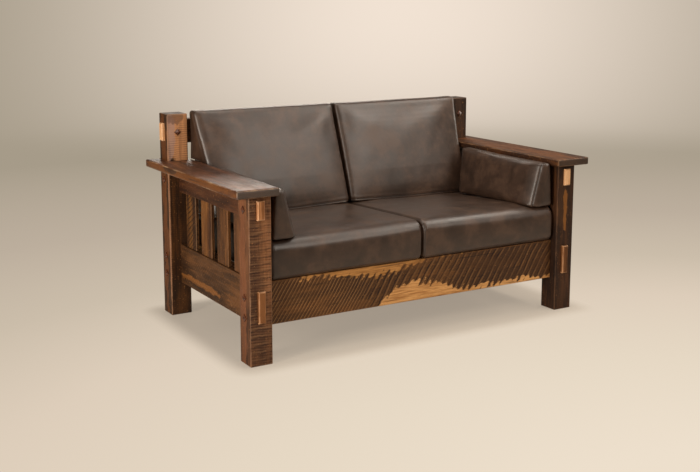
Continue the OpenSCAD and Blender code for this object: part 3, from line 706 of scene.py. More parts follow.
@dataclass
class TimberFrame:
    """The fixed timber frame: legs, posts, arms, rails, slats, blocks, pegs and the seat deck."""

    back_slats: int = 8
    deck_slats: int = 7

    def board(self, node: str, timber: Timber) -> None:
        """Dresses one board in its own timber.

        Args:
            node: The CAD node.
            timber: Its finish.
        """
        dress(node, timber.make(*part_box(node)))

    def barnwood(self, node: str, grain: Axis, *tones: str | float, **more) -> None:
        """Dresses one board in barnwood that is named after it.

        Args:
            node: The CAD node.
            grain: The direction of its grain.
            *tones: Its deep, body and glow tones, glow share and seed.
            **more: Timber's other fields.
        """
        self.board(node, Timber("barnwood_" + node, grain, *tones, **more))

    def legs(self) -> None:
        """Dresses the front legs and the back posts."""
        # The marks' pale tones are painted highlights on the ridges beside them, and their dark is partly
        # painted shade.
        fine = SawMarks(
            (0.06, 0.0, 1.0), 9.5, 0.5, 0.4, "#2E1A10", 0.4, "#8A664C", 0.4, 1.5, 0.4, face=FRONT,
        )
        coarse = SawMarks(
            (-0.05, 0.0, 1.0), 27.0, 0.6, 0.3, "#2A170D", 0.3, "#94704E", 0.3, 1.0, 0.5, face=FRONT,
        )
        self.barnwood(
            "leg_front_left", Axis.Z, "#402616", "#643F26", "#8C5C38", 0.5, 1.0,
            marks=(fine, coarse),
            patches=(
                Patch("#4A2E1C", (-735, -425, 200), (34, 20, 420), 0.5, 1.2, face=FRONT),
                Patch("#94623E", (-680, -425, 440), (16, 20, 200), 0.75, 1.0, face=FRONT),
                Patch("#7A4A2E", (-762, -372, 320), (20, 24, 480), 0.75, 0.9, face=LEFTWARD),
                # A pale line down the front-left corner: partly wear and partly a painted highlight on the
                # edge.
                Patch("#B08A6C", (-762, -436, 310), (12, 12, 420), 1.0, 0.4),
            ),
        )
        self.barnwood(
            "leg_front_right", Axis.Z, "#1C0E06", "#2E190B", "#4A2B14", 0.4, 2.0,
            patches=(
                Patch("#B0702E", (714, -425, 440), (6, 20, 80), 1.0, 3.6, face=FRONT),
                Patch("#4E3018", (700, -425, 480), (26, 20, 150), 0.6, 1.4, face=FRONT),
            ),
            wear="#7A5334", fleck_strength=0.3,
        )
        # Its dark tones stand partly for the shade that the arm casts on its front below it; the paler
        # front above the arm is partly painted light, and the pale line down its front corner is partly
        # wear and partly a painted highlight.
        self.barnwood(
            "post_back_left", Axis.Z, "#1E1109", "#36200F", "#573519", 0.4, 3.0,
            marks=(SawMarks((0.0, 0.0, 1.0), 9.0, 0.4, face=FRONT),),
            patches=(
                Patch("#BA8358", (-700, 338, 760), (60, 20, 150), 1.0, 0.5, face=FRONT),
                Patch("#A58272", (-752, 338, 760), (26, 20, 120), 0.9, 1.0, face=FRONT),
                Patch("#5A4032", (-735, 338, 838), (40, 20, 30), 0.7, 1.2, face=FRONT),
                Patch("#6C3C18", (-762, 381, 500), (20, 34, 520), 0.7, 1.5, face=LEFTWARD),
                Patch("#94684A", (-762, 337, 430), (7, 7, 470), 0.9, 0.5),
            ),
        )
        self.barnwood(
            "post_back_right", Axis.Z, "#1E140E", "#34241A", "#553A28", 0.4, 4.0, wear="#80604A",
        )

    def arms(self) -> None:
        """Dresses the two arm boards."""
        self.barnwood(
            "arm_left", Axis.Y, "#2A170F", "#4A2C1C", "#6E4329", 0.5, 5.0,
            patches=(
                Patch("#6E4016", (-818, 0, 640), (12, 460, 26), 0.85, 1.1, face=LEFTWARD),
                Patch("#2A1A12", (-818, 180, 646), (12, 60, 12), 0.8, 1.5, face=LEFTWARD),
            ),
            end="#4C433D", wear="#A08466", wear_strength=0.65, roughness=0.42, coat=0.12, relief=0.6,
        )
        self.barnwood(
            "arm_right", Axis.Y, "#28150A", "#482A15", "#6A3F1C", 0.5, 6.0,
            patches=(
                Patch("#70421F", (730, 0, 656), (40, 470, 12), 0.6, 0.9, face=UPWARD),
                Patch("#2E1A10", (650, 0, 650), (12, 470, 18), 0.7, 0.9),
            ),
            end="#42342A", wear="#8C6848", wear_strength=0.6, roughness=0.5, coat=0.04, relief=0.6,
        )

    def rails(self) -> None:
        """Dresses the apron, the side rails and the back rails."""
        slant = (0.83, 0.0, -0.56)
        upper = ((-672, 322), (-560, 310), (-414, 290), (-236, 268), (-51, 281), (92, 310), (672, 330))
        lower = ((-672, 100), (-254, 120), (-51, 213), (44, 201), (241, 160), (672, 160))
        # The marks' pale tones are painted highlights on the ridges beside them, and their dark is partly
        # painted shade.
        near = SawMarks(
            slant, 13.1, 0.75, 0.36, "#2C180B", 0.6, "#9C7248", 0.5, 1.2, 0.25, (-200, -300), FRONT,
        )
        far = SawMarks(
            slant, 26.2, 0.9, 0.3, "#26140A", 0.65, "#805A36", 0.4, 0.8, 0.22, (-330, -230), FRONT,
        )
        self.board("apron_front", Timber(
            "barnwood_apron", Axis.X, "#402612", "#553619", "#6E4622", 0.4, 7.0,
            marks=(near, far),
            bare=(
                BareZone("#C48C4E", "#90602E", upper, True),
                BareZone("#DAA264", "#A26C38", lower, False),
            ),
            patches=(Patch("#3A2211", (460, -405, 240), (420, 20, 140), 0.75, 0.8, face=FRONT),),
            weights=(0.7, 0.5, 0.25), wear="#8A5C34", wear_strength=0.35,
        ))
        self.barnwood(
            "side_rail_lower_left", Axis.Y, "#2E1B0D", "#4C3018", "#6A4424", 0.45, 8.0,
            marks=(SawMarks((0.0, 0.7, 0.7), 13.0, 0.3),),
            patches=(Patch("#8F5A28", (-716, 150, 176), (12, 240, 13), 0.8, 1.4),),
            wear="#6A4628",
        )
        self.barnwood(
            "side_rail_upper_left", Axis.Y, "#25140A", "#422412", "#5E381F", 0.4, 9.0,
            patches=(Patch("#7E5028", (-716, -300, 590), (12, 60, 30), 0.8, 1.2),),
            wear="#5E3C24",
        )
        self.barnwood(
            "side_rail_lower_right", Axis.Y, "#2E1B0D", "#4C3018", "#6A4424", 0.45, 10.0,
            marks=(SawMarks((0.0, 0.7, 0.7), 13.0, 0.35),),
        )
        self.barnwood(
            "side_rail_upper_right", Axis.Y, "#25140A", "#452714", "#654026", 0.4, 11.0,
        )
        self.barnwood(
            "back_rail_upper", Axis.X, "#26160C", "#452A18", "#684226", 0.45, 12.0,
            marks=(SawMarks((0.82, 0.0, 0.57), 13.0, 0.5),),
        )
        self.barnwood(
            "back_rail_lower", Axis.X, "#2A190E", "#4C301C", "#744A2A", 0.5, 13.0,
            marks=(SawMarks((0.82, 0.0, -0.57), 14.0, 0.55),),
        )

    def slats(self) -> None:
        """Dresses the slats of both sides and of the back, each a board of its own."""
        slanted = (0.0, 0.62, 0.78)
        rear = Timber(
            "barnwood_slat_rear", Axis.Z, "#211208", "#442812", "#724A20", 0.6, 14.0,
            marks=(SawMarks(slanted, 17.0, 0.85, 0.5, "#1E1008", least=0.4),), wear="#9A6C3E",
        )
        third = Timber(
            "barnwood_slat_third", Axis.Z, "#3C2210", "#603A1A", "#825528", 0.6, 15.0, wear="#8E6238",
        )
        second = Timber(
            "barnwood_slat_second", Axis.Z, "#28160A", "#482B14", "#7A4E26", 0.45, 16.0,
            marks=(SawMarks(slanted, 8.0, 0.4),), wear="#8E6238",
        )
        first = Timber("barnwood_slat_first", Axis.Z, "#301C0F", "#4E301A", "#6E4626", 0.5, 17.0)
        for number, timber in enumerate((first, second, third, rear), 1):
            for side in Side:
                self.board(f"side_slat_{side.word}_{number}", timber)
        tones = (
            ("#2A190D", "#4A2D18", "#6E4526"),
            ("#36210F", "#5C3A1E", "#865A30"),
            ("#422815", "#6C4424", "#966436"),
        )
        for number in range(1, self.back_slats + 1):
            slant = 0.6 if number % 2 else -0.5
            self.barnwood(
                f"back_slat_{number}", Axis.Z, *tones[number * 2 % 3], 0.5, 18.0 + number,
                marks=(SawMarks((slant, 0.0, 0.8), 11.0, 0.3 + 0.12 * (number % 3)),),
            )

    def joinery(self) -> None:
        """Dresses the tenon blocks and the pegs."""
        light = Timber(
            "planed_tenon_block", Axis.Z, "#80502C", "#CC8E5C", "#E6B484", 0.6, 30.0,
            end="#7E5836", wear="#DDB08A", wear_strength=0.6, relief=0.6, fleck="#5A3820",
        )
        brown = Timber(
            "worn_tenon_block", Axis.Z, "#42260F", "#643C1C", "#84542E", 0.6, 31.0,
            end="#6A4A2E", wear="#B88860", wear_strength=0.85, relief=0.6, fleck="#3A2414",
        )
        stained = StainedPeg().make()
        for side in Side:
            for place, timber in (("upper", light), ("post", light), ("lower", brown)):
                self.board(f"tenon_block_{place}_{side.word}", timber)
            for place in ("front", "back"):
                dress(f"pegs_{place}_{side.word}", stained)

    def deck(self) -> None:
        """Dresses the slats, cleats, stretcher, dowels and screws that the cushions hide."""
        # The hidden deck is darker than bare pine, partly as painted shade, so that the boards seen
        # through the gaps read dark.
        plain = {"deep": "#6E5030", "body": "#8C6A42", "glow": "#A88658", "wear": "#A88658", "relief": 0.3}
        boards = [
            (f"deck_slat_{number}", f"planed_pine_slat_{number}", Axis.Y, 40.0 + number)
            for number in range(1, self.deck_slats + 1)
        ]
        boards += [
            ("cleat_front", "planed_pine_cleat_front", Axis.X, 50.0),
            ("cleat_back", "planed_pine_cleat_back", Axis.X, 51.0),
            ("centre_stretcher", "planed_pine_stretcher", Axis.Y, 52.0),
        ]
        boards += [(f"arm_dowels_{side.word}", f"beech_dowels_{side.word}", Axis.Z, 53.0) for side in Side]
        for node, name, grain, seed in boards:
            self.board(node, Timber(name, grain, seed=seed, **plain))
        dress("deck_screws", ZincSteel().make())

    def build(self) -> None:
        """Dresses every node of the frame."""
        self.legs()
        self.arms()
        self.rails()
        self.slats()
        self.joinery()
        self.deck()


@dataclass
class Cushion:
    """A loose cushion: leather panels sewn round a tight filling.

    edge is the rounding of its edges before it is filled, voxel the size of its
    mesh, swell how far a panel may rise when it is filled, seam_in how far its
    seams lie in from its ends, groove how deep they are drawn in, and crease how
    deep its soft creases are. The sunk fields say how far the seat has sunk in
    the middle and how much more at the outside, how far out and back that takes,
    and where it begins. All are in metres. even_rounds and soften say how often
    the swelling and the mesh are evened out. fill, how tight the filling is, is not used.
    """

    side: Side
    edge: float = 0.014
    voxel: float = 0.008
    swell: float = 0.012
    seam_in: float = 0.008
    groove: float = 0.0018
    fill: float = 0.8
    even_rounds: int = 12
    soften: int = 3
    sunk_middle: float = 0.004
    sunk_outside: float = 0.010
    sunk_across: float = 0.33
    sunk_along: float = 0.40
    sunk_from: float = -0.25
    crease: float = 0.0008

    kind: ClassVar[str] = ""
    # The segments of a wide and of a plain rounding, the angle from which an edge is
    # sharp, and how near a line a corner lies on it.
    ROLL_STEPS: ClassVar[int] = 8
    EDGE_STEPS: ClassVar[int] = 4
    SHARP: ClassVar[float] = 0.8
    ON_LINE: ClassVar[float] = 0.001
    # The cloth's pressure and its last frame, how near a seam its points are held, in voxels,
    # and a length that stands for none, so that nothing is divided by zero.
    PRESSURE: ClassVar[float] = 4.0
    LAST_FRAME: ClassVar[int] = 20
    HELD_NEAR: ClassVar[float] = 0.75
    NO_LENGTH: ClassVar[float] = 1e-9
    # How wide the groove of a seam is, how far off the ridge beside it lies, and how wide
    # and how high that is, the last one in depths of the groove.
    GROOVE_WIDE: ClassVar[float] = 0.0032
    RIDGE_OFF: ClassVar[float] = 0.009
    RIDGE_WIDE: ClassVar[float] = 0.005
    RIDGE_HIGH: ClassVar[float] = 0.2
    CREASES_PER_METRE: ClassVar[float] = 14.0
    CREASE_SEED: ClassVar[Triple] = (3.1, 7.7, 1.3)

    @property
    def node(self) -> str:
        """The CAD node that this cushion replaces."""
        return f"{self.kind}_{self.side.word}"

    def rolls(self) -> list[tuple[float, Vector, Vector]]:
        """The edges that are rounded more than the rest: radius and two ends, on the +X side."""
        return []

    def corner(self, across: float, along: float, up: float) -> Vector:
        """One corner of the cushion before it is filled, on the +X side.

        Args:
            across: 0 at the low X end, 1 at the high.
            along: 0 at the low Y end, 1 at the high.
            up: 0 at the foot, 1 at the top.

        Returns:
            The corner's place.
        """
        raise NotImplementedError

    def seam_distance(self, place: np.ndarray) -> np.ndarray:
        """Distance of points from the nearest seam.

        Args:
            place: Points as rows, on the +X side.

        Returns:
            The distances in metres.
        """
        raise NotImplementedError

    def near_ends(self, along: np.ndarray, low: float, high: float | np.ndarray) -> np.ndarray:
        """Distance of points from the two seams that lie near a cushion's ends.

        Args:
            along: Where the points lie, from one end to the other.
            low: Where the first end is.
            high: Where the other end is.

        Returns:
            The distances in metres.
        """
        near = np.abs(along - (low + self.seam_in))
        far = np.abs(along - (high - self.seam_in))
        return np.minimum(near, far)

    def held(self, place: np.ndarray) -> np.ndarray:
        """Holds the points back where the cushion rests on something.

        Args:
            place: Points as rows, on the +X side.

        Returns:
            The points, pressed flat on what they meet.
        """
        raise NotImplementedError

    def settled(self, place: np.ndarray) -> np.ndarray:
        """How far the seat has sunk under the cushions that rest on it.

        Args:
            place: Points as rows, on the +X side.

        Returns:
            The drop in metres: none at the front, most behind and away from the middle.
        """
        outward = clipped(place[:, 0] / self.sunk_across)
        backward = clipped((place[:, 1] - self.sunk_from) / self.sunk_along)
        return (self.sunk_middle + self.sunk_outside * outward) * backward

    def creases(self, place: np.ndarray) -> np.ndarray:
        """Soft creases of the leather.

        Args:
            place: Points as rows, on the +X side.

        Returns:
            How far each point is drawn in, in metres.
        """
        x, y, z = self.CREASE_SEED
        seed = Vector((x * self.side.value, y, z))
        scale = self.CREASES_PER_METRE
        return np.array([self.crease * noise.noise(Vector(point) * scale + seed) for point in place])

    def rounded(self, bm: bmesh.types.BMesh, edges: list, radius: float, steps: int) -> None:
        """Rounds some edges.

        Args:
            bm: The mesh.
            edges: The edges.
            radius: The radius of the rounding.
            steps: Its segments.
        """
        bmesh.ops.bevel(
            bm, geom=edges, offset=radius, offset_type="OFFSET", segments=steps, profile=0.5,
            affect="EDGES", material=-1,
        )

    def blank(self) -> bpy.types.Object:
        """Makes the unfilled cushion: a block with rounded edges, remeshed evenly.

        Returns:
            The piece, on the +X side.
        """
        bm = bmesh.new()
        bmesh.ops.create_cube(bm, size=1.0)
        for vert in bm.verts:
            vert.co = self.corner(*(round(c + 0.5) for c in vert.co))
        for radius, one, other in self.rolls():
            along = (other - one).normalized()
            roll = [
                edge for edge in bm.edges
                if all((vert.co - one).cross(along).length < self.ON_LINE for vert in edge.verts)
            ]
            self.rounded(bm, roll, radius, self.ROLL_STEPS)
        sharp = [edge for edge in bm.edges if edge.calc_face_angle(0.0) > self.SHARP]
        self.rounded(bm, sharp, self.edge, self.EDGE_STEPS)
        mesh = bpy.data.meshes.new(self.node + "_leather")
        bm.to_mesh(mesh)
        bm.free()
        piece = bpy.data.objects.new(self.node + "_leather", mesh)
        bpy.context.scene.collection.objects.link(piece)
        remesh = piece.modifiers.new("Remesh", "REMESH")
        remesh.mode = "VOXEL"
        remesh.voxel_size = self.voxel
        self.keep(piece)
        bm = bmesh.new()
        bm.from_mesh(piece.data)
        for _ in range(self.soften):
            bmesh.ops.smooth_vert(
                bm, verts=bm.verts, factor=0.5, use_axis_x=True, use_axis_y=True, use_axis_z=True
            )
        bm.to_mesh(piece.data)
        bm.free()
        return piece

    def keep(self, piece: bpy.types.Object) -> None:
        """Applies a piece's modifiers.

        Args:
            piece: The piece.
        """
        graph = bpy.context.evaluated_depsgraph_get()
        graph.update()
        made = bpy.data.meshes.new_from_object(
            piece.evaluated_get(graph), preserve_all_data_layers=True, depsgraph=graph
        )
        piece.modifiers.clear()
        piece.data = made

    def points(self, mesh: bpy.types.Mesh, value: str = "co") -> np.ndarray:
        """Reads a mesh's points.

        Args:
            mesh: The mesh.
            value: What is read of each point, its place or its normal.

        Returns:
            The values as rows.
        """
        flat = np.empty(len(mesh.vertices) * 3)
        mesh.vertices.foreach_get(value, flat)
        return flat.reshape(-1, 3)

    def filled(self, piece: bpy.types.Object) -> None:
        """Fills the cushion: a cloth simulation blows the panels up between the held seams.

        Args:
            piece: The unfilled cushion, on the +X side.
        """
        start = self.points(piece.data)
        seam = self.seam_distance(start)
        pins = piece.vertex_groups.new(name="seam")
        for i in np.flatnonzero(seam < self.HELD_NEAR * self.voxel):
            pins.add([int(i)], 1.0, "REPLACE")
        cloth = piece.modifiers.new("Cloth", "CLOTH")
        cloth.settings.use_pressure = True
        cloth.settings.uniform_pressure_force = self.PRESSURE
        cloth.settings.effector_weights.gravity = 0.0
        cloth.settings.vertex_group_mass = "seam"
        cloth.collision_settings.use_collision = False
        scene = bpy.context.scene
        for step in range(1, self.LAST_FRAME + 1):
            scene.frame_set(step)
        graph = bpy.context.evaluated_depsgraph_get()
        moved = self.points(piece.evaluated_get(graph).data)
        piece.modifiers.clear()
        scene.frame_set(1)
        shift = self.evened(piece.data, moved - start)
        far = np.linalg.norm(shift, axis=1, keepdims=True)
        log.info("%s swelled by up to %.1f mm, mean %.1f mm", self.node, far.max() / MM, far.mean() / MM)
        kept = self.swell * np.tanh(far / self.swell) / np.maximum(far, self.NO_LENGTH)
        piece.data.vertices.foreach_set("co", (start + shift * kept).ravel())
        piece.vertex_groups.clear()

    def evened(self, mesh: bpy.types.Mesh, shift: np.ndarray) -> np.ndarray:
        """Evens out how far the points of a panel rise, as stiff leather does.

        Args:
            mesh: The cushion's mesh.
            shift: How far each point rises.

        Returns:
            The same, averaged over the neighbours again and again.
        """
        flat = np.empty(len(mesh.edges) * 2, dtype=int)
        mesh.edges.foreach_get("vertices", flat)
        one, other = flat.reshape(-1, 2).T
        count = np.bincount(flat, minlength=len(mesh.vertices))[:, None]
        for _ in range(self.even_rounds):
            around = np.zeros_like(shift)
            np.add.at(around, one, shift[other])
            np.add.at(around, other, shift[one])
            shift = 0.5 * shift + 0.5 * around / count
        return shift

    def sewn(self, piece: bpy.types.Object) -> None:
        """Draws the seams in, adds the creases and presses the cushion on what holds it.

        Args:
            piece: The filled cushion, on the +X side.
        """
        mesh = piece.data
        place = self.points(mesh)
        normals = self.points(mesh, "normal")
        seam = self.seam_distance(place)
        drawn = np.exp(-((seam / self.GROOVE_WIDE) ** 2))
        raised = self.RIDGE_HIGH * np.exp(-(((seam - self.RIDGE_OFF) / self.RIDGE_WIDE) ** 2))
        inward = self.groove * (drawn - raised) + self.creases(place)
        place = place - normals * inward[:, None]
        mesh.vertices.foreach_set("co", self.held(place).ravel())
        mark = mesh.attributes.new("seam", "FLOAT", "POINT")
        mark.data.foreach_set("value", seam)
        mesh.update()

    def mirrored(self, piece: bpy.types.Object) -> None:
        """Turns a cushion made on the +X side into the one on the other side.

        Args:
            piece: The cushion.
        """
        bm = bmesh.new()
        bm.from_mesh(piece.data)
        bmesh.ops.scale(bm, vec=(-1.0, 1.0, 1.0), verts=bm.verts)
        bmesh.ops.reverse_faces(bm, faces=bm.faces)
        bm.to_mesh(piece.data)
        bm.free()

    def build(self, leather: bpy.types.Material) -> bpy.types.Object:
        """Makes the cushion in place of its CAD solid.

        Args:
            leather: Its material.

        Returns:
            The finished piece.
        """
        piece = self.blank()
        self.filled(piece)
        smooth = piece.modifiers.new("Subdivision", "SUBSURF")
        smooth.levels = 1
        smooth.render_levels = 1
        self.keep(piece)
        self.sewn(piece)
        if self.side is Side.LEFT:
            self.mirrored(piece)
        shade_smoothly(piece.data)
        piece.data.materials.append(leather)
        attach(piece, self.node)
        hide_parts(self.node)
        log.info("made %s with %d faces", piece.name, len(piece.data.polygons))
        return piece

    def space(self) -> tuple[Vector, Vector]:
        """The box of this kind's CAD solid on the +X side."""
        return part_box(f"{self.kind}_{Side.RIGHT.word}")


@dataclass
class SeatCushion(Cushion):
    """A seat cushion: one panel runs over its top, front and bottom, with a panel at each end.

    The thick fields are its thickness in front near the middle, in front outside
    and behind. The roll fields round its front. clear is the gap under what rests
    on it, and the margins say how far round that its top is held.
    """

    kind: ClassVar[str] = "seat_cushion"
    edge: float = 0.009
    even_rounds: int = 24
    middle_thick: float = 0.160
    outer_thick: float = 0.153
    back_thick: float = 0.138
    start_in: float = 0.005
    side_in: float = 0.0015
    top_roll: float = 0.044
    foot_roll: float = 0.026
    clear: float = 0.0004
    back_margin: float = 0.020
    arm_margin: float = 0.016
    foot_up: float = 0.0005

    def corner(self, across: float, along: float, up: float) -> Vector:
        """One corner of the unfilled cushion, on the +X side.

        Args:
            across: 0 at the low X end, 1 at the high.
            along: 0 at the low Y end, 1 at the high.
            up: 0 at the foot, 1 at the top.

        Returns:
            The corner's place.
        """
        low, high = self.space()
        inset = self.start_in
        x = low.x + self.side_in if across == 0 else high.x - self.side_in
        y = low.y + inset if along == 0 else high.y - inset
        front_thick = self.middle_thick if across == 0 else self.outer_thick
        thick = front_thick if along == 0 else self.back_thick
        z = low.z + self.foot_up if up == 0 else low.z + thick - 0.5 * inset
        return Vector((x, y, z))

    def rolls(self) -> list[tuple[float, Vector, Vector]]:
        """The edges with a wide rounding.

        Returns:
            Each one's radius and two ends, on the +X side.
        """
        return [
            (self.top_roll, self.corner(0, 0, 1), self.corner(1, 0, 1)),
            (self.foot_roll, self.corner(0, 0, 0), self.corner(1, 0, 0)),
        ]

    def seam_distance(self, place: np.ndarray) -> np.ndarray:
        """Distance of points from the nearest seam.

        Args:
            place: Points as rows, on the +X side.

        Returns:
            The distances in metres.
        """
        low, high = self.space()
        return self.near_ends(place[:, 0], low.x, high.x)

    def held(self, place: np.ndarray) -> np.ndarray:
        """Presses the points flat on what the cushion meets.

        Args:
            place: Points as rows, on the +X side.

        Returns:
            The points where they end up.
        """
        low, high = self.space()
        place[:, 0] = np.clip(place[:, 0], low.x, high.x)
        place[:, 1] = np.minimum(place[:, 1], high.y)
        place[:, 2] = np.maximum(place[:, 2], low.z)
        sunk = self.settled(place)
        place[:, 2] -= sunk * clipped((place[:, 2] - low.z) / self.back_thick)
        back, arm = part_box("back_cushion_right")[0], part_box("arm_cushion_right")[0]
        under_back = place[:, 1] > back.y - self.back_margin
        under_arm = place[:, 0] > arm.x - self.arm_margin
        for under, foot in ((under_back, back.z), (under_arm, arm.z)):
            limit = np.where(under, foot - self.clear - sunk, math.inf)
            place[:, 2] = np.minimum(place[:, 2], limit)
        return place


@dataclass
class BackCushion(Cushion):
    """A back cushion: upright behind, leaning in front, wider above the arm.

    It is boxed: a panel in front and one behind, with a strip between them all
    round, so its seams run round the two panels. foot_forward is how far its foot
    stands before the solid's, and pressed how far it starts below it. The flare
    fields widen its outer side above the arm, suddenly behind and slowly in front.
    """

    kind: ClassVar[str] = "back_cushion"
    top_thick: float = 0.068
    foot_forward: float = 0.014
    flare: float = 0.014
    flare_out: float = 0.022
    flare_from: float = 0.6555
    flare_rise: float = 0.004
    flare_deep: float = 0.1
    flare_power: int = 8
    start_in: float = 0.004
    edge: float = 0.009
    even_rounds: int = 60
    outer_roll: float = 0.022
    inner_roll: float = 0.012
    seam_in: float = 0.022
    pressed: float = 0.006
    foot_seam: float = 0.013
    sunk_height: float = 0.12

    def corner(self, across: float, along: float, up: float) -> Vector:
        """One corner of the unfilled cushion, on the +X side.

        Args:
            across: 0 at the low X end, 1 at the high.
            along: 0 at the low Y end, 1 at the high.
            up: 0 at the foot, 1 at the top.

        Returns:
            The corner's place.
        """
        low, high = self.space()
        inset = self.start_in
        x = low.x + inset if across == 0 else high.x - self.flare - inset
        back = high.y - 0.5 * inset
        foot_front = low.y - self.foot_forward + 0.5 * inset
        front = foot_front if up == 0 else high.y - self.top_thick - 0.5 * inset
        y = back if along == 1 else front
        z = low.z - self.pressed if up == 0 else high.z + 0.5 * inset
        return Vector((x, y, z))

    def rolls(self) -> list[tuple[float, Vector, Vector]]:
        """The edges with a wide rounding.

        Returns:
            Each one's radius and two ends, on the +X side.
        """
        return [
            (self.inner_roll, self.corner(0, 0, 0), self.corner(0, 0, 1)),
            (self.outer_roll, self.corner(1, 0, 0), self.corner(1, 0, 1)),
        ]

    def seam_distance(self, place: np.ndarray) -> np.ndarray:
        """Distance of points from the nearest seam.

        Args:
            place: Points as rows, on the +X side.

        Returns:
            The distances in metres.
        """
        foot = self.corner(0, 0, 0)
        top = self.corner(0, 0, 1)
        lean = math.atan2(top.y - foot.y, top.z - foot.z)
        front = foot.y + (place[:, 2] - foot.z) * math.tan(lean)
        behind_front = (place[:, 1] - front) * math.cos(lean)
        before_back = self.corner(0, 1, 0).y - place[:, 1]
        sides = np.abs(np.minimum(behind_front, before_back) - self.seam_in)
        at_foot = np.abs(place[:, 2] - (foot.z + self.foot_seam))
        sides = np.where(place[:, 2] < foot.z + 2 * self.foot_seam, at_foot, sides)
        return np.minimum(sides, at_foot)

    def held(self, place: np.ndarray) -> np.ndarray:
        """Presses the points flat on what the cushion meets.

        Args:
            place: Points as rows, on the +X side.

        Returns:
            The points where they end up.
        """
        low, high = self.space()
        above = place[:, 2] - self.flare_from
        behind = clipped((high.y - place[:, 1]) / self.flare_deep)
        sudden = clipped(above / self.flare_rise)
        gradual = clipped(above / (high.z - self.flare_from))
        wider = self.flare_out * ((1 - behind) * sudden + behind * gradual)
        across = clipped((place[:, 0] - low.x) / (high.x - self.flare - low.x)) ** self.flare_power
        place[:, 0] = np.clip(place[:, 0], low.x, high.x - self.flare) + across * wider
        place[:, 1] = np.minimum(place[:, 1], high.y)
        place[:, 2] = np.maximum(place[:, 2], low.z)
        near_foot = clipped(1.0 - (place[:, 2] - low.z) / self.sunk_height)
        place[:, 2] -= self.settled(place) * near_foot
        return place


@dataclass
class ArmCushion(Cushion):
    """An arm cushion: thin on top, leaning on the arm, with its seams round its two ends.

    The taller and longer fields say how far it stands out past its solid, slope
    how far its outer side leans in, and bend how far its inner face turns to the
    arm near the front.
    """

    kind: ClassVar[str] = "arm_cushion"
    edge: float = 0.012
    voxel: float = 0.0055
    swell: float = 0.008
    taller_front: float = 0.006
    taller_back: float = 0.011
    longer_foot: float = 0.014
    longer_top: float = 0.022
    end_roll: float = 0.036
    seam_in: float = 0.020
    groove: float = 0.0012
    bend: float = 0.018
    bend_long: float = 0.085
    low_thick: float = 0.120
    top_thick: float = 0.057
    low_long: float = 0.505
    foot_down: float = 0.002
    slope: float = 0.013
    start_in: float = 0.004

    def corner(self, across: float, along: float, up: float) -> Vector:
        """One corner of the unfilled cushion, on the +X side.

        Args:
            across: 0 at the low X end, 1 at the high.
            along: 0 at the low Y end, 1 at the high.
            up: 0 at the foot, 1 at the top.

        Returns:
            The corner's place.
        """
        low, high = self.space()
        inset = self.start_in
        outer = high.x - self.slope * up - 0.5 * inset
        thick = self.top_thick if up else self.low_thick
        x = outer if across == 1 else outer - thick + inset
        end = low.y + self.low_long + self.longer_foot if up == 0 else high.y + self.longer_top
        y = low.y + inset if along == 0 else end - inset
        taller = self.taller_front if along == 0 else self.taller_back
        z = low.z - self.foot_down if up == 0 else high.z + taller
        return Vector((x, y, z))

    def rolls(self) -> list[tuple[float, Vector, Vector]]:
        """The edges with a wide rounding.

        Returns:
            Each one's radius and two ends, on the +X side.
        """
        return [(self.end_roll, self.corner(0, 0, 0), self.corner(0, 0, 1))]

    def ends(self, place: np.ndarray) -> tuple[float, np.ndarray]:
        """Where the cushion ends.

        Args:
            place: Points as rows, on the +X side.

        Returns:
            The front end's Y, and the leaning back end's Y at each point's height.
        """
        low, high = self.space()
        up = (place[:, 2] - low.z) / (high.z - low.z)
        foot_end = low.y + self.low_long + self.longer_foot
        return low.y, foot_end + up * (high.y + self.longer_top - foot_end)

    def seam_distance(self, place: np.ndarray) -> np.ndarray:
        """Distance of points from the nearest seam.

        Args:
            place: Points as rows, on the +X side.

        Returns:
            The distances in metres.
        """
        return self.near_ends(place[:, 1], *self.ends(place))

    def held(self, place: np.ndarray) -> np.ndarray:
        """Presses the points flat on what the cushion meets.

        Args:
            place: Points as rows, on the +X side.

        Returns:
            The points where they end up.
        """
        low, high = self.space()
        up = (place[:, 2] - low.z) / (high.z - low.z)
        outer = high.x - self.slope * up
        near_front = clipped(1.0 - (place[:, 1] - low.y) / self.bend_long)
        inward = clipped((outer - place[:, 0]) / self.top_thick)
        place[:, 0] += self.bend * near_front ** 2 * inward
        place[:, 0] = np.minimum(place[:, 0], outer)
        place[:, 2] = np.maximum(place[:, 2], low.z)
        place[:, 2] -= self.settled(place) * clipped(1.0 - up)
        return place


@dataclass(frozen=True)
class Softbox:
    """A soft lamp: where it hangs, what it looks at, its width, height and power."""

    name: str
    place: Triple
    aim: Triple
    wide: float
    tall: float
    power: float
    tone: str = "#FFF5E8"


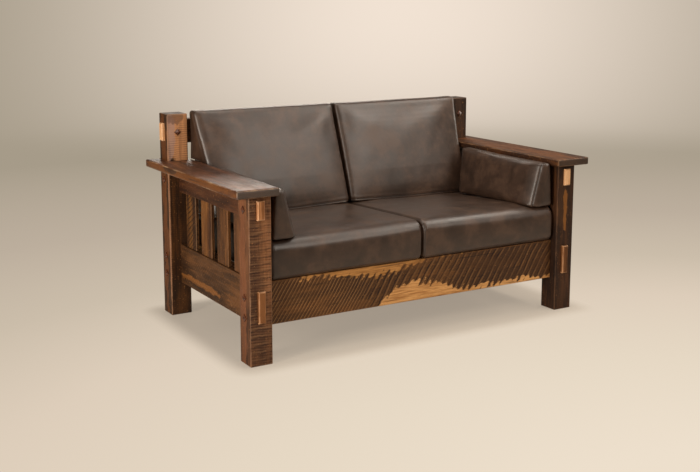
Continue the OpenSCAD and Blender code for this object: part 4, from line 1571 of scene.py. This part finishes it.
@dataclass
class Studio:
    """Pale floor that curves up into a round backdrop, soft lamps and the camera.

    The floor's glow has a pool of light behind the sofa and falls off round
    near_spot through the tones of fall. The shadow fields hold it back near the
    sofa's footprint, and reflected_share is what reflections see of it. Lengths
    are in metres, tilt and turn in degrees, and lens and sensor in millimetres.
    """

    floor_reach: float = 7.0
    curve: float = 3.0
    wall: float = 6.0
    steps: int = 96
    floor_tone: str = "#BDB3A6"
    pool_tone: str = "#F1E2D3"
    pool: Triple = (5.4, 7.9, 1.2)
    pool_reach: float = 6.2
    near_spot: Triple = (-0.15, -2.2, 0.0)
    fall: tuple[tuple[float, str], ...] = (
        (0.5, "#EDDFCC"), (1.3, "#E6D8C4"), (2.2, "#DDCDBA"),
        (3.0, "#CBBDAA"), (4.2, "#BCAE9D"), (7.0, "#A69B89"),
    )
    footprint: tuple[float, float] = (0.76, 0.43)
    shadow_share: float = 0.48
    shadow_reach: float = 0.11
    reflected_share: float = 0.25
    lens: float = 55.19
    sensor: float = 36.0
    shift_y: float = -0.08
    eye: Triple = (-2.35347, -3.79196, 1.31126)
    tilt: float = 80.47
    turn: float = -30.81
    lamps: tuple[Softbox, ...] = (
        Softbox("overhead_softbox", (-0.1, -0.15, 3.3), (0.0, 0.0, 0.0), 2.6, 1.5, 52.0),
        Softbox("roll_strip", (1.9, -0.9, 2.8), (0.0, -0.4, 0.45), 2.2, 0.5, 36.0),
        Softbox("left_strip", (-4.4, -1.6, 1.1), (-0.3, -0.2, 0.5), 0.9, 2.0, 150.0),
        Softbox("front_softbox", (1.8, -3.6, 3.0), (0.0, 0.0, 0.45), 2.0, 1.2, 50.0),
        Softbox("left_front_softbox", (-2.4, -3.2, 3.0), (0.0, 0.0, 0.45), 2.0, 1.2, 15.0),
        Softbox("rear_softbox", (1.6, 4.4, 2.6), (0.0, 0.0, 0.45), 2.4, 1.2, 50.0),
        Softbox("right_softbox", (4.4, 0.6, 1.8), (0.0, 0.0, 0.45), 1.6, 1.6, 25.0),
    )
    sky_tone: str = "#F6F2EC"
    world_strength: float = 0.15
    turns: int = 12
    merge: float = 0.0001

    def backdrop(self) -> None:
        """Makes the floor and the backdrop as one turned surface."""
        bm = bmesh.new()
        profile = [Vector((0.0, 0.0, 0.0)), Vector((self.floor_reach, 0.0, 0.0))]
        for i in range(1, self.turns + 1):
            turn = math.radians(90 * i / self.turns)
            out = self.floor_reach + self.curve * math.sin(turn)
            profile.append(Vector((out, 0.0, self.curve * (1 - math.cos(turn)))))
        profile.append(Vector((self.floor_reach + self.curve, 0.0, self.wall)))
        verts = [bm.verts.new(p) for p in profile]
        edges = [bm.edges.new(pair) for pair in zip(verts, verts[1:])]
        bmesh.ops.spin(
            bm, geom=verts + edges, cent=(0, 0, 0), axis=(0, 0, 1), angle=math.tau,
            steps=self.steps, use_merge=True,
        )
        bmesh.ops.remove_doubles(bm, verts=bm.verts, dist=self.merge)
        bmesh.ops.recalc_face_normals(bm, faces=bm.faces)
        if sum(face.normal.z * face.calc_area() for face in bm.faces) < 0:
            bmesh.ops.reverse_faces(bm, faces=bm.faces)
        mesh = bpy.data.meshes.new("studio_floor")
        bm.to_mesh(mesh)
        bm.free()
        shade_smoothly(mesh)
        floor = bpy.data.objects.new("studio_floor", mesh)
        bpy.context.scene.collection.objects.link(floor)
        mesh.materials.append(self.paper())

    def paper(self) -> bpy.types.Material:
        """Makes the backdrop's paper.

        It is lit paper under the sofa, and turns with the distance into a plain
        painted glow, which only the camera and reflections see.

        Returns:
            The material.
        """
        recipe = Recipe(bpy.data.materials.new("studio_backdrop_paper"))
        add = recipe.add
        lit = add("BsdfDiffuse", {"Color": colour(self.floor_tone)})
        place = add("TexCoord", out="Object")
        longest = self.fall[-1][0]
        off = add("VectorMath", [place, self.near_spot], "Value", operation="DISTANCE")
        off = add("MapRange", [off, 0.0, longest])
        fall = add("ValToRGB", [off], stops=[(reach / longest, tone) for reach, tone in self.fall])
        off = add("VectorMath", [place, self.pool], "Value", operation="DISTANCE")
        off = add("MapRange", [off, self.pool_reach, 0.0], interpolation_type="SMOOTHSTEP")
        tones = {SHARE: off, FROM: fall, TO: colour(self.pool_tone)}
        glow = add("Mix", tones, MIXED, data_type="RGBA")
        glow = add("Emission", {"Color": glow})
        out = add("VectorMath", [place], operation="ABSOLUTE")
        out = add("VectorMath", [out, (*self.footprint, 0.0)], operation="SUBTRACT")
        out = add("VectorMath", [out, (0.0, 0.0, 0.0)], operation="MAXIMUM")
        out = add("VectorMath", [out], "Value", operation="LENGTH")
        share = [out, 0.0, self.shadow_reach, self.shadow_share, 1.0]
        share = add("MapRange", share, interpolation_type="SMOOTHSTEP")
        path = add("LightPath").node.outputs
        seen = add("Math", [path["Is Glossy Ray"], path["Is Transmission Ray"]], operation="MAXIMUM")
        seen = [seen, self.reflected_share, path["Is Camera Ray"]]
        seen = add("Math", seen, operation="MULTIPLY_ADD", use_clamp=True)
        share = add("Math", [share, seen], operation="MULTIPLY")
        add("OutputMaterial", {"Surface": add("MixShader", [share, lit, glow])}, None)
        return recipe.owner

    def hang(self, box: Softbox) -> None:
        """Hangs one lamp.

        Args:
            box: The lamp.
        """
        data = bpy.data.lights.new(box.name, "AREA")
        data.shape = "RECTANGLE"
        data.size = box.wide
        data.size_y = box.tall
        data.energy = box.power
        data.color = colour(box.tone)[:3]
        lamp = bpy.data.objects.new(box.name, data)
        lamp.visible_camera = False
        lamp.location = box.place
        lamp.rotation_euler = (Vector(box.aim) - Vector(box.place)).to_track_quat("-Z", "Y").to_euler()
        bpy.context.scene.collection.objects.link(lamp)

    def light(self) -> None:
        """Sets the world and hangs the lamps."""
        world = bpy.data.worlds.new("studio")
        bpy.context.scene.world = world
        recipe = Recipe(world)
        sky = recipe.add("Background", {"Color": colour(self.sky_tone), "Strength": self.world_strength})
        recipe.add("OutputWorld", {"Surface": sky}, None)
        for box in self.lamps:
            self.hang(box)

    def camera(self) -> None:
        """Puts the camera where the photograph's was."""
        data = bpy.data.cameras.new("camera")
        data.sensor_width = self.sensor
        data.lens = self.lens
        data.shift_y = self.shift_y
        eye = bpy.data.objects.new("camera", data)
        eye.location = self.eye
        eye.rotation_euler = Euler((math.radians(self.tilt), 0.0, math.radians(self.turn)))
        bpy.context.scene.collection.objects.link(eye)
        bpy.context.scene.camera = eye

    def build(self) -> None:
        """Makes the whole studio."""
        self.camera()
        self.backdrop()
        self.light()
        bpy.context.scene.view_settings.view_transform = "Standard"
        log.info("studio is set")


def main() -> None:
    """Builds the studio, dresses the frame and makes the cushions."""
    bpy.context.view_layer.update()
    Studio().build()
    TimberFrame().build()
    leather = Leather().make()
    for side in Side:
        for kind in (SeatCushion, BackCushion, ArmCushion):
            kind(side).build(leather)


if __name__ == "__main__":
    logging.basicConfig(level=logging.INFO, format="%(message)s")
    main()
